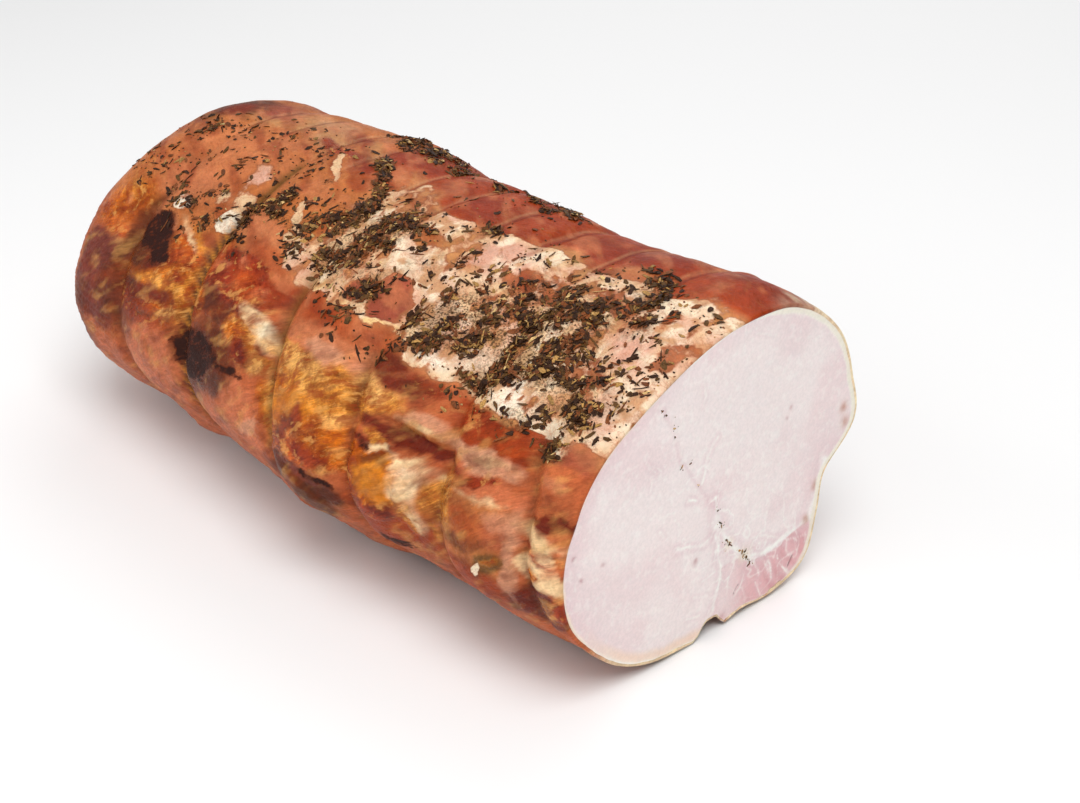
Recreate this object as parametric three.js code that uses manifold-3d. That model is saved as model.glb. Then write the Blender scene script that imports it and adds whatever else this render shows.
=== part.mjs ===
// A tied and roasted pork loin with one cut end, lying on a table.
//
// Millimetres, +Z up. The loin lies along X: the cut face is the plane x = LENGTH / 2 and the rounded
// end points to -X. The origin is on the table under the middle of the roast's extents.
//
// Three solids:
//   loin          the two-lobed eye of meat with its browned outside, and the largest herb flakes fused on
//   side_muscle   the darker muscle under the loin, past the seam of fat, running back from the cut
//   herb_filling  the sheet of herbs in the pocket between the loin's two lobes
//
// A place on the outside is given by two numbers: "back", the distance in mm behind the cut face, and
// "turn", the angle in degrees round the loin, with 0 at +Y, 90 at the top and 180 at -Y.

import * as THREE from "three";
import { mergeVertices } from "three/addons/utils/BufferGeometryUtils.js";
import Module from "manifold-3d";

const wasm = await Module();
wasm.setup();

// ---- driving dimensions -----------------------------------------------------------------------

const LENGTH = 259; // cut face to the tip of the rounded end
const CENTRE_HEIGHT = 45; // height of the section's centre over the table at the cut
const DOME_START = 216; // where the rounded end begins, mm back
const DOME_POWER = 1.92; // 2 would be a true ellipse

// Radius of the cut section every 15 degrees of turn, about its centre.
const CUT_RADII = [
  57.0, 56.2, 56.2, 54.5, 52.0, 48.5, 46.2, 44.9, 45.0, 47.5, 52.2, 55.7,
  58.1, 57.6, 54.9, 52.4, 49.2, 45.8, 45.4, 44.2, 50.2, 54.4, 49.4, 46.6,
];

// Thickness and sideways shift of the loin along its length: [mm back, scale, shift in mm].
const STATIONS = [
  [0, 1.0, 0.0],
  [15, 1.019, -0.8],
  [35, 1.01, -1.5],
  [60, 1.001, -2.0],
  [90, 1.034, -5.6],
  [120, 1.027, -3.0],
  [150, 1.032, -0.9],
  [180, 1.022, 0.7],
  [205, 1.015, 0.5],
  [225, 1.012, 1.8],
  [240, 1.011, 6.3],
];

// Marks of the tying string: [mm back on the -Y side, how far the ring leans back towards the top, depth].
const RING_MARKS = [
  [15.5, 11, 2.0],
  [46, 4, 1.9],
  [79, 6, 2.0],
  [115, 9.5, 2.1],
  [161, 4.5, 2.4],
  [198, 6, 1.3],
];
const RING_LEAN_TURN = 75; // the turn at which a ring lies furthest back
const RING_WIDTH = 3.2;
// Where the rings are pressed deepest: [turn, half width in degrees, share of the depth].
const RING_PRESSES = [
  [164, 34, 1.0],
  [310, 60, 0.6],
];
const RING_LEAST = 0.22; // share of the depth elsewhere

// Shorter marks between them, across the top and the +Y side only.
const SHORT_MARKS = [
  [69, 1.7],
  [104.5, 1.7],
  [148.5, 1.5],
  [186, 0.9],
];
const SHORT_MARK_TURN = 62; // middle of the stretch that they cross
const SHORT_MARK_REACH = 44; // half of that stretch, in degrees
const SHORT_MARK_WIDTH = 3.0;

const SWELL_HEIGHT = 1.5; // how far the meat swells between two marks
const SWELL_MEAN = 1.25; // the part of it that is already in the radii above

// Lumps and hollows of the outside: [mm back, turn, half length, half width in degrees, height].
const LUMPS = [
  [98, 194, 13, 13, 2.6],
  [66, 192, 10, 12, 2.4],
  [30, 193, 13, 12, 2.0],
  [5, 196, 9, 12, 1.0],
  [136, 188, 16, 16, 1.5],
  [176, 186, 15, 16, 1.2],
  [136, 150, 14, 9, 1.4],
  [60, 177, 11, 8, 1.6],
  [36, 70, 9, 14, 1.5],
  [11, 68, 8, 14, 1.7],
  [58, 166, 17, 4, -2.2],
  [28, 164, 12, 4, -1.4],
  [8, 167, 7, 4, -1.6],
  [86, 131, 12, 9, -1.4],
  [192, 150, 11, 8, -1.2],
  [222, 154, 17, 18, -2.2],
  [222, 64, 15, 14, -1.4],
  [226, 100, 16, 18, -0.8],
  [156, 50, 13, 12, 2.2],
  [150, 198, 24, 12, -1.0],
  [92, 212, 14, 9, -1.0],
  [114, 217, 8, 12, 2.8],
  [42, 217, 4, 10, 1.0],
  [172, 217, 6, 10, 1.7],
  [136, 218, 5, 10, -1.4],
  [65, 217, 8, 10, -1.0],
  [24, 49, 5, 12, 2.0],
  [50, 48, 5, 12, 1.6],
  [84, 48, 4, 12, 1.4],
  [158, 49, 4, 10, -1.5],
  [128, 278, 72, 36, 3.4],
];

// Furrow along the underside where the seam of fat comes out: [turn, half width in degrees, depth].
const SEAM_FURROW = [268.3, 6.2, 5.4];
const FURROW_LENGTH = 175; // mm back, where it has faded out

// The side muscle's upper border in the cut face, from the underside to the +Y side: [y, z].
const MUSCLE_BORDER = [
  [-12, -12],
  [-3.4, 5.0],
  [1.6, 11.0],
  [2.4, 19.6],
  [8.5, 20.2],
  [13.5, 16.8],
  [20.0, 15.3],
  [27.0, 15.9],
  [33.0, 18.0],
  [40.0, 18.9],
  [70, 20],
];
const MUSCLE_FLOOR = -40; // below the table
const MUSCLE_DROP = 9; // how far its border sinks over the length of the roast

// The herb filling's line in the cut face, from the top down: [y, z].
const FILLING_LINE = [
  [-23.5, 77.5],
  [-19.4, 70.5],
  [-16.8, 62.0],
  [-12.4, 54.5],
  [-6.2, 46.0],
  [-0.8, 38.0],
  [2.6, 30.0],
  [8.4, 24.6],
  [12.4, 21.2],
];
const FILLING_LENGTH = 214;
const FILLING_THICKNESS = 1.0;

const GAP = 0.3; // between two solids that touch

// The largest herb flakes: each cluster is [mm back, turn, half length, half width in degrees, flakes].
const HERB_CLUSTERS = [
  [114, 114, 17, 20, 26],
  [50, 122, 34, 19, 40],
  [24, 142, 22, 10, 9],
  [150, 120, 14, 12, 9],
  [180, 130, 20, 9, 6],
  [88, 96, 30, 12, 5],
  [146, 60, 17, 7, 6],
  [90, 58, 10, 5, 4],
];
const FLAKE_LENGTH = [3.6, 6.4]; // shortest and longest
const FLAKE_WIDTH = [1.7, 2.7];
const FLAKE_HEIGHT = 1.5;
const FLAKE_SINK = 0.6; // how deep a flake sits in the meat
const FLAKE_SPACING = 5.2; // between the middles of two flakes
const FLAKE_SEED = 20260;

const SECTION_STEPS = 66; // faces round the loin
const ROWS_PER_BAY = 5; // rows between two string marks

// ---- small helpers ----------------------------------------------------------------------------

const radians = THREE.MathUtils.degToRad;
const clamp = THREE.MathUtils.clamp;

// A smooth closed curve through evenly spaced values; "turn" is in degrees.
function aroundSection(values, turn) {
  const count = values.length;
  const place = (((turn % 360) + 360) % 360) / (360 / count);
  const index = Math.floor(place);
  const t = place - index;
  const [a, b, c, d] = [-1, 0, 1, 2].map((k) => values[(index + k + count) % count]);
  return b + 0.5 * t * (c - a + t * (2 * a - 5 * b + 4 * c - d + t * (3 * (b - c) + d - a)));
}

// A smooth curve through unevenly spaced stations; "column" picks the value in each row.
function alongLength(rows, column, back) {
  const x = clamp(back, rows[0][0], rows.at(-1)[0]);
  let i = 0;
  while (i < rows.length - 2 && x > rows[i + 1][0]) i += 1;
  const slopeAt = (k) => {
    const before = rows[Math.max(k - 1, 0)];
    const after = rows[Math.min(k + 1, rows.length - 1)];
    return (after[column] - before[column]) / (after[0] - before[0]);
  };
  const [x0, x1] = [rows[i][0], rows[i + 1][0]];
  const step = x1 - x0;
  const t = (x - x0) / step;
  const [t2, t3] = [t * t, t * t * t];
  return (
    (2 * t3 - 3 * t2 + 1) * rows[i][column] +
    (t3 - 2 * t2 + t) * step * slopeAt(i) +
    (3 * t2 - 2 * t3) * rows[i + 1][column] +
    (t3 - t2) * step * slopeAt(i + 1)
  );
}

// The shorter way round between two turns, in degrees.
function turnBetween(a, b) {
  return ((((a - b) % 360) + 540) % 360) - 180;
}

function bell(distance, width) {
  return Math.exp(-((distance / width) ** 2));
}

// A seeded random source from 0 to 1.
function randomSource(seed) {
  let state = seed;
  return () => {
    state = (state * 1664525 + 1013904223) % 4294967296;
    return state / 4294967296;
  };
}

// ---- the outside of the roast -----------------------------------------------------------------

// Where a string mark lies at a turn, in mm back.
function ringBack([nearSide, lean], turn) {
  return nearSide + lean * Math.cos(radians(turn - RING_LEAN_TURN));
}

function shortMarkStrength(turn) {
  const share = Math.abs(turnBetween(turn, SHORT_MARK_TURN)) / SHORT_MARK_REACH;
  return share < 1 ? Math.cos((share * Math.PI) / 2) : 0;
}

// Height of the meat's swelling between the two string marks on either side.
function swell(back, turn) {
  const marks = [-10, ...RING_MARKS.map((ring) => ringBack(ring, turn)), LENGTH - 12];
  const next = marks.findIndex((mark) => mark > back);
  if (next < 1) return 0;
  const share = (back - marks[next - 1]) / (marks[next] - marks[next - 1]);
  return SWELL_HEIGHT * Math.sqrt(Math.sin(Math.PI * share)) - SWELL_MEAN;
}

// How deep the rings are pressed at each turn, as a share of their depth.
function ringShare(turn) {
  const presses = RING_PRESSES.map(([middle, half, most]) => {
    return most * bell(turnBetween(turn, middle), half);
  });
  return RING_LEAST + (1 - RING_LEAST) * Math.max(...presses);
}

// How far the outside stands out of its smooth section, in mm.
function relief(back, turn) {
  let height = swell(back, turn);
  for (const ring of RING_MARKS) {
    const depth = ring[2] * ringShare(turn);
    height -= depth * bell(back - ringBack(ring, turn), RING_WIDTH);
  }
  for (const [place, depth] of SHORT_MARKS) {
    height -= depth * shortMarkStrength(turn) * bell(back - place, SHORT_MARK_WIDTH);
  }
  for (const [place, angle, halfLength, halfTurn, size] of LUMPS) {
    height += size * bell(back - place, halfLength) * bell(turnBetween(turn, angle), halfTurn);
  }
  const [furrowTurn, furrowHalf, furrowDepth] = SEAM_FURROW;
  const furrowLeft = clamp(1 - back / FURROW_LENGTH, 0, 1);
  const across = turnBetween(turn, furrowTurn) / furrowHalf;
  height -= furrowDepth * furrowLeft * Math.exp(-(across ** 4));
  return height;
}

// The share of the full section that is left in the rounded end.
function domeShare(back) {
  const share = clamp((back - DOME_START) / (LENGTH - DOME_START), 0, 1);
  return (1 - share ** DOME_POWER) ** (1 / DOME_POWER);
}

// A point of the outside; "proud" is a distance above it.
function outside(back, turn, proud = 0) {
  const scale = alongLength(STATIONS, 1, back);
  const shift = alongLength(STATIONS, 2, back);
  const radius = aroundSection(CUT_RADII, turn) + relief(back, turn) + proud;
  const reach = radius * scale * domeShare(back);
  return new THREE.Vector3(
    LENGTH / 2 - back,
    reach * Math.cos(radians(turn)) + shift,
    CENTRE_HEIGHT * scale + reach * Math.sin(radians(turn)),
  );
}

// The outward direction at a place on the outside.
function outward(back, turn) {
  const here = outside(back, turn);
  const further = outside(back + 0.5, turn).sub(here);
  const round = outside(back, turn + 0.5).sub(here);
  return further.cross(round).normalize().negate();
}

// Rows of the mesh follow the string marks, so that each mark has a row at its bottom.
function rowPlaces(turn) {
  const marks = [0, ...RING_MARKS.map((ring) => ringBack(ring, turn)), DOME_START + 8];
  const places = [];
  for (let bay = 0; bay < marks.length - 1; bay += 1) {
    const size = marks[bay + 1] - marks[bay];
    const shares = [...Array(ROWS_PER_BAY).keys()].map((k) => k / ROWS_PER_BAY);
    shares.forEach((share) => places.push(marks[bay] + share * size));
  }
  const domeRows = 8;
  for (let k = 0; k < domeRows; k += 1) {
    const lean = Math.sin(((k / domeRows) * Math.PI) / 2);
    places.push(marks.at(-1) + (LENGTH - marks.at(-1)) * lean);
  }
  return places;
}

// ---- solids -----------------------------------------------------------------------------------

function solidFromGeometry(geometry) {
  const plain = geometry.clone();
  plain.deleteAttribute("normal");
  plain.deleteAttribute("uv");
  const merged = mergeVertices(plain, 1e-3);
  return new wasm.Manifold(
    new wasm.Mesh({
      numProp: 3,
      vertProperties: new Float32Array(merged.attributes.position.array),
      triVerts: new Uint32Array(merged.index.array),
    }),
  );
}

function geometryFromSolid(solid) {
  const { vertProperties, triVerts } = solid.getMesh();
  const geometry = new THREE.BufferGeometry();
  geometry.setAttribute("position", new THREE.BufferAttribute(vertProperties, 3));
  geometry.setIndex(new THREE.BufferAttribute(triVerts, 1));
  geometry.computeVertexNormals();
  return geometry;
}

// A closed body from rings of points, each ring with the same count, and a point at either end.
function loft(rings, firstEnd, lastEnd) {
  const count = rings[0].length;
  const points = [...rings.flat(), firstEnd, lastEnd];
  const [firstIndex, lastIndex] = [points.length - 2, points.length - 1];
  const faces = [];
  for (let row = 0; row < rings.length - 1; row += 1) {
    for (let k = 0; k < count; k += 1) {
      const [a, b] = [row * count + k, row * count + ((k + 1) % count)];
      faces.push(a, b, b + count, a, b + count, a + count);
    }
  }
  const start = (rings.length - 1) * count;
  for (let k = 0; k < count; k += 1) {
    const next = (k + 1) % count;
    faces.push(firstIndex, next, k, lastIndex, start + k, start + next);
  }
  const geometry = new THREE.BufferGeometry().setFromPoints(points);
  geometry.setIndex(faces);
  const solid = solidFromGeometry(geometry);
  if (solid.volume() > 0) return solid;
  for (let i = 0; i < faces.length; i += 3) [faces[i], faces[i + 1]] = [faces[i + 1], faces[i]];
  geometry.setIndex(faces);
  return solidFromGeometry(geometry);
}

function wholeRoast() {
  const turns = [...Array(SECTION_STEPS).keys()].map((k) => (k * 360) / SECTION_STEPS);
  const places = turns.map(rowPlaces);
  const rings = places[0].map((_, row) => turns.map((turn, k) => outside(places[k][row], turn)));
  const tip = outside(LENGTH, 0);
  const cutMiddle = new THREE.Vector3(LENGTH / 2, 0, CENTRE_HEIGHT);
  return loft(rings, cutMiddle, tip);
}

// A prism from a closed outline in the cut plane, running back "length" mm from x = front and
// sinking by "drop" on the way.
function prismFromCut(outline, front, length, drop) {
  const shape = new THREE.Shape(outline.map(([y, z]) => new THREE.Vector2(y, z)));
  const geometry = new THREE.ExtrudeGeometry(shape, { depth: length, bevelEnabled: false });
  const lay = new THREE.Matrix4();
  lay.set(0, 0, 1, front - length, 1, 0, 0, 0, 0, 1, drop / length, -drop, 0, 0, 0, 1);
  geometry.applyMatrix4(lay);
  return solidFromGeometry(geometry);
}

// Everything under the seam of fat, with the border moved by "lift".
function muscleCutter(lift) {
  const border = MUSCLE_BORDER.map(([y, z]) => [y - lift, z + lift]);
  const outline = [...border, [70, MUSCLE_FLOOR], [border[0][0], MUSCLE_FLOOR]];
  return prismFromCut(outline, LENGTH / 2 + 1, LENGTH + 2, MUSCLE_DROP);
}

// The filling's sheet, "thickness" wide and running "length" back.
function fillingSheet(thickness, front, length, endExtra) {
  const line = FILLING_LINE.map(([y, z]) => new THREE.Vector2(y, z));
  const sideAt = (k) => {
    const before = line[Math.max(k - 1, 0)];
    const after = line[Math.min(k + 1, line.length - 1)];
    const along = after.clone().sub(before).normalize();
    return new THREE.Vector2(-along.y, along.x).multiplyScalar(thickness / 2);
  };
  const ends = line.map((p, k) => {
    if (k > 0 && k < line.length - 1) return p.clone();
    const inner = line[k === 0 ? 1 : k - 1];
    return p.clone().add(p.clone().sub(inner).normalize().multiplyScalar(endExtra));
  });
  const left = ends.map((p, k) => p.clone().add(sideAt(k)));
  const right = ends.map((p, k) => p.clone().sub(sideAt(k))).reverse();
  const outline = [...left, ...right].map((p) => [p.x, p.y]);
  return prismFromCut(outline, front, length, 0);
}

// One flat-bottomed flake lying on the outside, turned by "spin" on its spot.
function flake(back, turn, spin, length, width) {
  const up = outward(back, turn);
  const ahead = outside(back + 1, turn).sub(outside(back, turn)).normalize();
  const side = new THREE.Vector3().crossVectors(up, ahead).normalize();
  const long = ahead.clone().applyAxisAngle(up, spin);
  const across = side.clone().applyAxisAngle(up, spin);
  const foot = outside(back, turn).addScaledVector(up, -FLAKE_SINK);
  const place = (x, y, z) =>
    foot.clone().addScaledVector(long, x).addScaledVector(across, y).addScaledVector(up, z);
  const rim = [
    [-0.5, 0],
    [-0.1, -0.5],
    [0.42, -0.3],
    [0.5, 0.2],
    [-0.1, 0.5],
  ];
  const low = rim.map(([x, y]) => place(x * length, y * width, 0));
  const high = rim.map(([x, y]) => place(x * length * 0.9, y * width * 0.85, FLAKE_HEIGHT * 0.8));
  return loft([low, high], place(0, 0, 0), place(0, 0, FLAKE_HEIGHT));
}

// The largest flakes of every cluster, kept apart from each other.
function herbFlakes() {
  const random = randomSource(FLAKE_SEED);
  const between = ([low, high]) => low + (high - low) * random();
  const taken = [];
  const flakes = [];
  for (const [back, turn, halfLength, halfTurn, count] of HERB_CLUSTERS) {
    let placed = 0;
    for (let tries = 0; placed < count && tries < count * 30; tries += 1) {
      const reach = Math.sqrt(random());
      const angle = 2 * Math.PI * random();
      const atBack = back + halfLength * reach * Math.cos(angle);
      const atTurn = turn + halfTurn * reach * Math.sin(angle);
      const point = outside(atBack, atTurn);
      const spin = Math.PI * random();
      const [length, width] = [between(FLAKE_LENGTH), between(FLAKE_WIDTH)];
      const clear = taken.every((other) => other.distanceTo(point) > FLAKE_SPACING);
      if (!clear || atBack < FLAKE_LENGTH[1]) continue;
      taken.push(point);
      flakes.push(flake(atBack, atTurn, spin, length, width));
      placed += 1;
    }
  }
  return flakes;
}

// ---- the parts --------------------------------------------------------------------------------

function aboveTable() {
  const slab = new THREE.BoxGeometry(LENGTH * 2, LENGTH, LENGTH);
  slab.translate(0, 0, LENGTH / 2);
  return solidFromGeometry(slab);
}

// The body without the flakes that bridge a string mark and touch nothing.
function largestBody(solid) {
  return solid.decompose().reduce((a, b) => (b.volume() > a.volume() ? b : a));
}

const roast = wholeRoast().intersect(aboveTable());

const loinMeat = roast
  .subtract(muscleCutter(0))
  .subtract(
    fillingSheet(FILLING_THICKNESS + 2 * GAP, LENGTH / 2 + 1, FILLING_LENGTH + 1 + GAP, GAP),
  );
const loinSolid = largestBody(herbFlakes().reduce((meat, piece) => meat.add(piece), loinMeat));
const muscleSolid = roast.intersect(muscleCutter(-GAP));
const fillingSolid = fillingSheet(FILLING_THICKNESS, LENGTH / 2, FILLING_LENGTH, 0);

const browned = new THREE.MeshStandardMaterial({ color: 0xb9683c, roughness: 0.5 });
const darkLean = new THREE.MeshStandardMaterial({ color: 0xd9a2a8, roughness: 0.6 });
const herbs = new THREE.MeshStandardMaterial({ color: 0x4a4430, roughness: 0.8 });

function part(name, solid, material) {
  const mesh = new THREE.Mesh(geometryFromSolid(solid), material);
  mesh.name = name;
  return mesh;
}

const group = new THREE.Group();
group.add(part("loin", loinSolid, browned));
group.add(part("side_muscle", muscleSolid, darkLean));
group.add(part("herb_filling", fillingSolid, herbs));

const box = new THREE.Box3().setFromObject(group);
const toMiddle = -(box.min.y + box.max.y) / 2;
group.children.forEach((mesh) => mesh.geometry.translate(0, toMiddle, 0));

export default group;
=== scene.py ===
"""A tied and roasted pork loin with one cut end, in soft studio light on a pale floor.

Lengths are in millimetres until a mesh is made, and a mesh is in metres, as the floor and the
lamps are. A place on the outside is given by "back", the distance behind the cut face, and "turn",
the angle round the loin in degrees, with 0 at +Y, 90 at the top and 180 at -Y, the near side.
"""

import logging
import math
from dataclasses import dataclass, field
from enum import Enum
from typing import Optional, Sequence

import bpy
import numpy as np
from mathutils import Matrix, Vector

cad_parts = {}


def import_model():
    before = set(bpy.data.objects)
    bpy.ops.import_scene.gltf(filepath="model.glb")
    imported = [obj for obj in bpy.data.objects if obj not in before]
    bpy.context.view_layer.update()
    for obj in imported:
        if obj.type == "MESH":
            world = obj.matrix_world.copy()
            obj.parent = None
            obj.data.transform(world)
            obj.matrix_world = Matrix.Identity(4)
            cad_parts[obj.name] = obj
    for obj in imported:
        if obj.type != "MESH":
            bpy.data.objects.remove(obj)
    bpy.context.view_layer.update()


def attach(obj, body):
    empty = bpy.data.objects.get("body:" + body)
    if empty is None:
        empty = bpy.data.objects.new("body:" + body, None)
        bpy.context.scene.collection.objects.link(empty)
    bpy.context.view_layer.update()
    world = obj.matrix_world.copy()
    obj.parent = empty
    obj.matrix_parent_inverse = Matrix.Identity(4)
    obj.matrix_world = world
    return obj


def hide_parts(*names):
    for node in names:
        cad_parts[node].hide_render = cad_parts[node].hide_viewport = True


log = logging.getLogger("pork_loin")

MM = 0.001
BODY = "root"
Array = np.ndarray
Point = tuple[float, float]
Window = tuple[Point, Point]
Triple = tuple[float, float, float]
Piece = bpy.types.Object
Socket = bpy.types.NodeSocket
Material = bpy.types.Material


# ---- noise and small sums ----


def lattice_value(cells: Array, seed: int) -> Array:
    """Gives each whole-numbered cell its own random value.

    Args:
        cells: Rows of three whole numbers.
        seed: Picks one of many patterns.

    Returns:
        One value from 0 to 1 for each row.
    """
    x, y, z = (cells[:, k].astype(np.uint32) for k in range(3))
    mixed = x * np.uint32(73856093) ^ y * np.uint32(19349663) ^ z * np.uint32(83492791)
    mixed = mixed ^ np.uint32((seed * 2654435761) & 0xFFFFFFFF)
    for step in (15, 13, 16):
        mixed = (mixed ^ (mixed >> np.uint32(step))) * np.uint32(2246822519)
    return (mixed >> np.uint32(8)).astype(float) / 16777215.0


def soft_noise(points: Array, size: float, seed: int, layers: int = 1) -> Array:
    """Smooth random values through space.

    Args:
        points: Places, in mm.
        size: Width of the largest spots, in mm.
        seed: Picks the pattern.
        layers: Each layer adds spots half as wide and half as strong.

    Returns:
        One value from about -1 to 1 for each place.
    """
    total = np.zeros(len(points))
    strength, whole = 1.0, 0.0
    for layer in range(layers):
        scaled = points * (2.0**layer / size) + 17.3 * layer
        cell = np.floor(scaled).astype(np.int64)
        part = scaled - cell
        part = part * part * (3.0 - 2.0 * part)
        value = np.zeros(len(points))
        for corner in range(8):
            step = np.array([corner & 1, (corner >> 1) & 1, (corner >> 2) & 1])
            weight = np.prod(np.where(step == 1, part, 1.0 - part), axis=1)
            value += weight * lattice_value(cell + step, seed + 101 * layer)
        total += strength * (2.0 * value - 1.0)
        whole += strength
        strength *= 0.5
    return total / whole * 1.35


def ease(low: float, high: float, value: Array) -> Array:
    """A smooth step from 0 at low to 1 at high.

    Args:
        low: Where the step starts.
        high: Where it ends.
        value: The values to step.

    Returns:
        The steps, from 0 to 1.
    """
    t = np.clip((value - low) / (high - low), 0.0, 1.0)
    return t * t * (3.0 - 2.0 * t)


def bell(distance: Array, width: float) -> Array:
    """A bell curve that is 1 at no distance."""
    return np.exp(-((distance / width) ** 2))


def turn_between(a: Array, b: float) -> Array:
    """The shorter way round from b to a, in degrees."""
    return (a - b + 180.0) % 360.0 - 180.0


def linear(colour: Sequence[float]) -> Array:
    """Turns a screen colour from 0 to 255 into linear light from 0 to 1."""
    share = np.asarray(colour, float) / 255.0
    return np.where(share <= 0.04045, share / 12.92, ((share + 0.055) / 1.055) ** 2.4)


def window(value: Array, edges: Window) -> Array:
    """A soft step up and down again.

    Args:
        value: The values to step.
        edges: Where the step up starts and ends, and where the step down starts and ends.

    Returns:
        Shares from 0 to 1, with 1 between the two steps.
    """
    rise, fall = edges
    return ease(*rise, value) * (1.0 - ease(*fall, value))


def turned(along: Array, across: Array, slant: float) -> tuple[Array, Array]:
    """Two coordinates along axes turned by an angle in degrees."""
    c, s = math.cos(math.radians(slant)), math.sin(math.radians(slant))
    return along * c + across * s, across * c - along * s


def mix_in(colours: Array, tone: Enum, weight: Array) -> None:
    """Mixes a named tone into rows of linear colours, in place.

    Args:
        colours: One linear colour for each place.
        tone: The tone.
        weight: How much of it each place takes, from 0 to 1.
    """
    colours += weight[:, None] * (linear(tone.value) - colours)


def distance_to_path(points: Array, path: Sequence[Point]) -> Array:
    """Distance from points to a line of straight pieces.

    Args:
        points: Rows of two coordinates.
        path: Corners of the line.

    Returns:
        One distance for each point.
    """
    best = np.full(len(points), 1e9)
    for start, end in zip(path[:-1], path[1:]):
        a, d = np.array(start, float), np.array(end, float) - np.array(start, float)
        t = np.clip(((points - a) @ d) / max(float(d @ d), 1e-9), 0.0, 1.0)
        best = np.minimum(best, np.linalg.norm(points - a - t[:, None] * d, axis=1))
    return best


# ---- the shape of the roast ----


@dataclass
class LoinShape:
    """The outside of the roast, from the same sizes as the solids, in mm and degrees.

    A row of "stations" is a place, the section's scale and its sideways shift there. A row of
    "ring_marks" is a string mark's middle, its lean and its depth. A row of "ring_presses" is a
    turn at which the string pressed deeper, the half width and the share. A row of "short_marks"
    is a place and a depth. A row of "lumps" is a place, a turn, a half length, a half width in
    degrees and a height. The seam's furrow is its turn, half width and depth.
    """

    length: float = 259.0
    centre_height: float = 45.0
    side_shift: float = 3.97
    dome_start: float = 216.0
    dome_power: float = 1.92
    cut_radii: tuple[float, ...] = (
        57.0, 56.2, 56.2, 54.5, 52.0, 48.5, 46.2, 44.9, 45.0, 47.5, 52.2, 55.7,
        58.1, 57.6, 54.9, 52.4, 49.2, 45.8, 45.4, 44.2, 50.2, 54.4, 49.4, 46.6,
    )  # fmt: skip
    stations: tuple[Triple, ...] = (
        (0, 1.0, 0.0),
        (15, 1.019, -0.8),
        (35, 1.01, -1.5),
        (60, 1.001, -2.0),
        (90, 1.034, -5.6),
        (120, 1.027, -3.0),
        (150, 1.032, -0.9),
        (180, 1.022, 0.7),
        (205, 1.015, 0.5),
        (225, 1.012, 1.8),
        (240, 1.011, 6.3),
    )
    ring_marks: tuple[Triple, ...] = (
        (15.5, 11, 2.0),
        (46, 4, 1.9),
        (79, 6, 2.0),
        (115, 9.5, 2.1),
        (161, 4.5, 2.4),
        (198, 6, 1.3),
    )
    ring_lean_turn: float = 75.0
    ring_width: float = 3.2
    ring_presses: tuple[Triple, ...] = ((164, 34, 1.0), (310, 60, 0.6))
    ring_least: float = 0.22
    short_marks: tuple[Point, ...] = ((69, 1.7), (104.5, 1.7), (148.5, 1.5), (186, 0.9))
    short_turn: float = 62.0
    short_reach: float = 44.0
    short_width: float = 3.0
    swell_height: float = 1.5
    swell_mean: float = 1.25
    swell_before_cut: float = 10.0
    swell_before_tip: float = 12.0
    lumps: tuple[tuple[float, ...], ...] = (
        (98, 194, 13, 13, 2.6),
        (66, 192, 10, 12, 2.4),
        (30, 193, 13, 12, 2.0),
        (5, 196, 9, 12, 1.0),
        (136, 188, 16, 16, 1.5),
        (176, 186, 15, 16, 1.2),
        (136, 150, 14, 9, 1.4),
        (60, 177, 11, 8, 1.6),
        (36, 70, 9, 14, 1.5),
        (11, 68, 8, 14, 1.7),
        (58, 166, 17, 4, -2.2),
        (28, 164, 12, 4, -1.4),
        (8, 167, 7, 4, -1.6),
        (86, 131, 12, 9, -1.4),
        (192, 150, 11, 8, -1.2),
        (222, 154, 17, 18, -2.2),
        (222, 64, 15, 14, -1.4),
        (226, 100, 16, 18, -0.8),
        (156, 50, 13, 12, 2.2),
        (150, 198, 24, 12, -1.0),
        (92, 212, 14, 9, -1.0),
        (114, 217, 8, 12, 2.8),
        (42, 217, 4, 10, 1.0),
        (172, 217, 6, 10, 1.7),
        (136, 218, 5, 10, -1.4),
        (65, 217, 8, 10, -1.0),
        (24, 49, 5, 12, 2.0),
        (50, 48, 5, 12, 1.6),
        (84, 48, 4, 12, 1.4),
        (158, 49, 4, 10, -1.5),
        (128, 278, 72, 36, 3.4),
    )
    seam_furrow: Triple = (268.3, 6.2, 5.4)
    furrow_length: float = 175.0

    def section_radius(self, turn: Array) -> Array:
        """Radius of the cut section at each turn, in mm."""
        values = np.array(self.cut_radii)
        place = (turn % 360.0) / (360.0 / len(values))
        index = np.floor(place).astype(int)
        t = place - index
        a, b, c, d = (values[(index + k) % len(values)] for k in (-1, 0, 1, 2))
        curve = 2 * a - 5 * b + 4 * c - d + t * (3 * (b - c) + d - a)
        return b + 0.5 * t * (c - a + t * curve)

    def station_value(self, column: int, back: Array) -> Array:
        """Scale (column 1) or sideways shift (column 2) of the section at each place."""
        rows = np.array(self.stations, float)
        x = np.clip(back, rows[0, 0], rows[-1, 0])
        i = np.clip(np.searchsorted(rows[:, 0], x, side="right") - 1, 0, len(rows) - 2)
        low, high = np.maximum(i - 1, 0), np.minimum(i + 2, len(rows) - 1)
        step = rows[i + 1, 0] - rows[i, 0]
        value, place = rows[:, column], rows[:, 0]
        slope_a = (value[i + 1] - value[low]) / (place[i + 1] - place[low])
        slope_b = (value[high] - value[i]) / (place[high] - place[i])
        t = (x - place[i]) / step
        t2, t3 = t * t, t * t * t
        return (
            (2 * t3 - 3 * t2 + 1) * value[i]
            + (t3 - 2 * t2 + t) * step * slope_a
            + (3 * t2 - 2 * t3) * value[i + 1]
            + (t3 - t2) * step * slope_b
        )

    def ring_back(self, ring: int, turn: Array) -> Array:
        """Where a string mark lies at each turn, in mm back."""
        near_side, lean, _ = self.ring_marks[ring]
        return near_side + lean * np.cos(np.radians(turn - self.ring_lean_turn))

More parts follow.
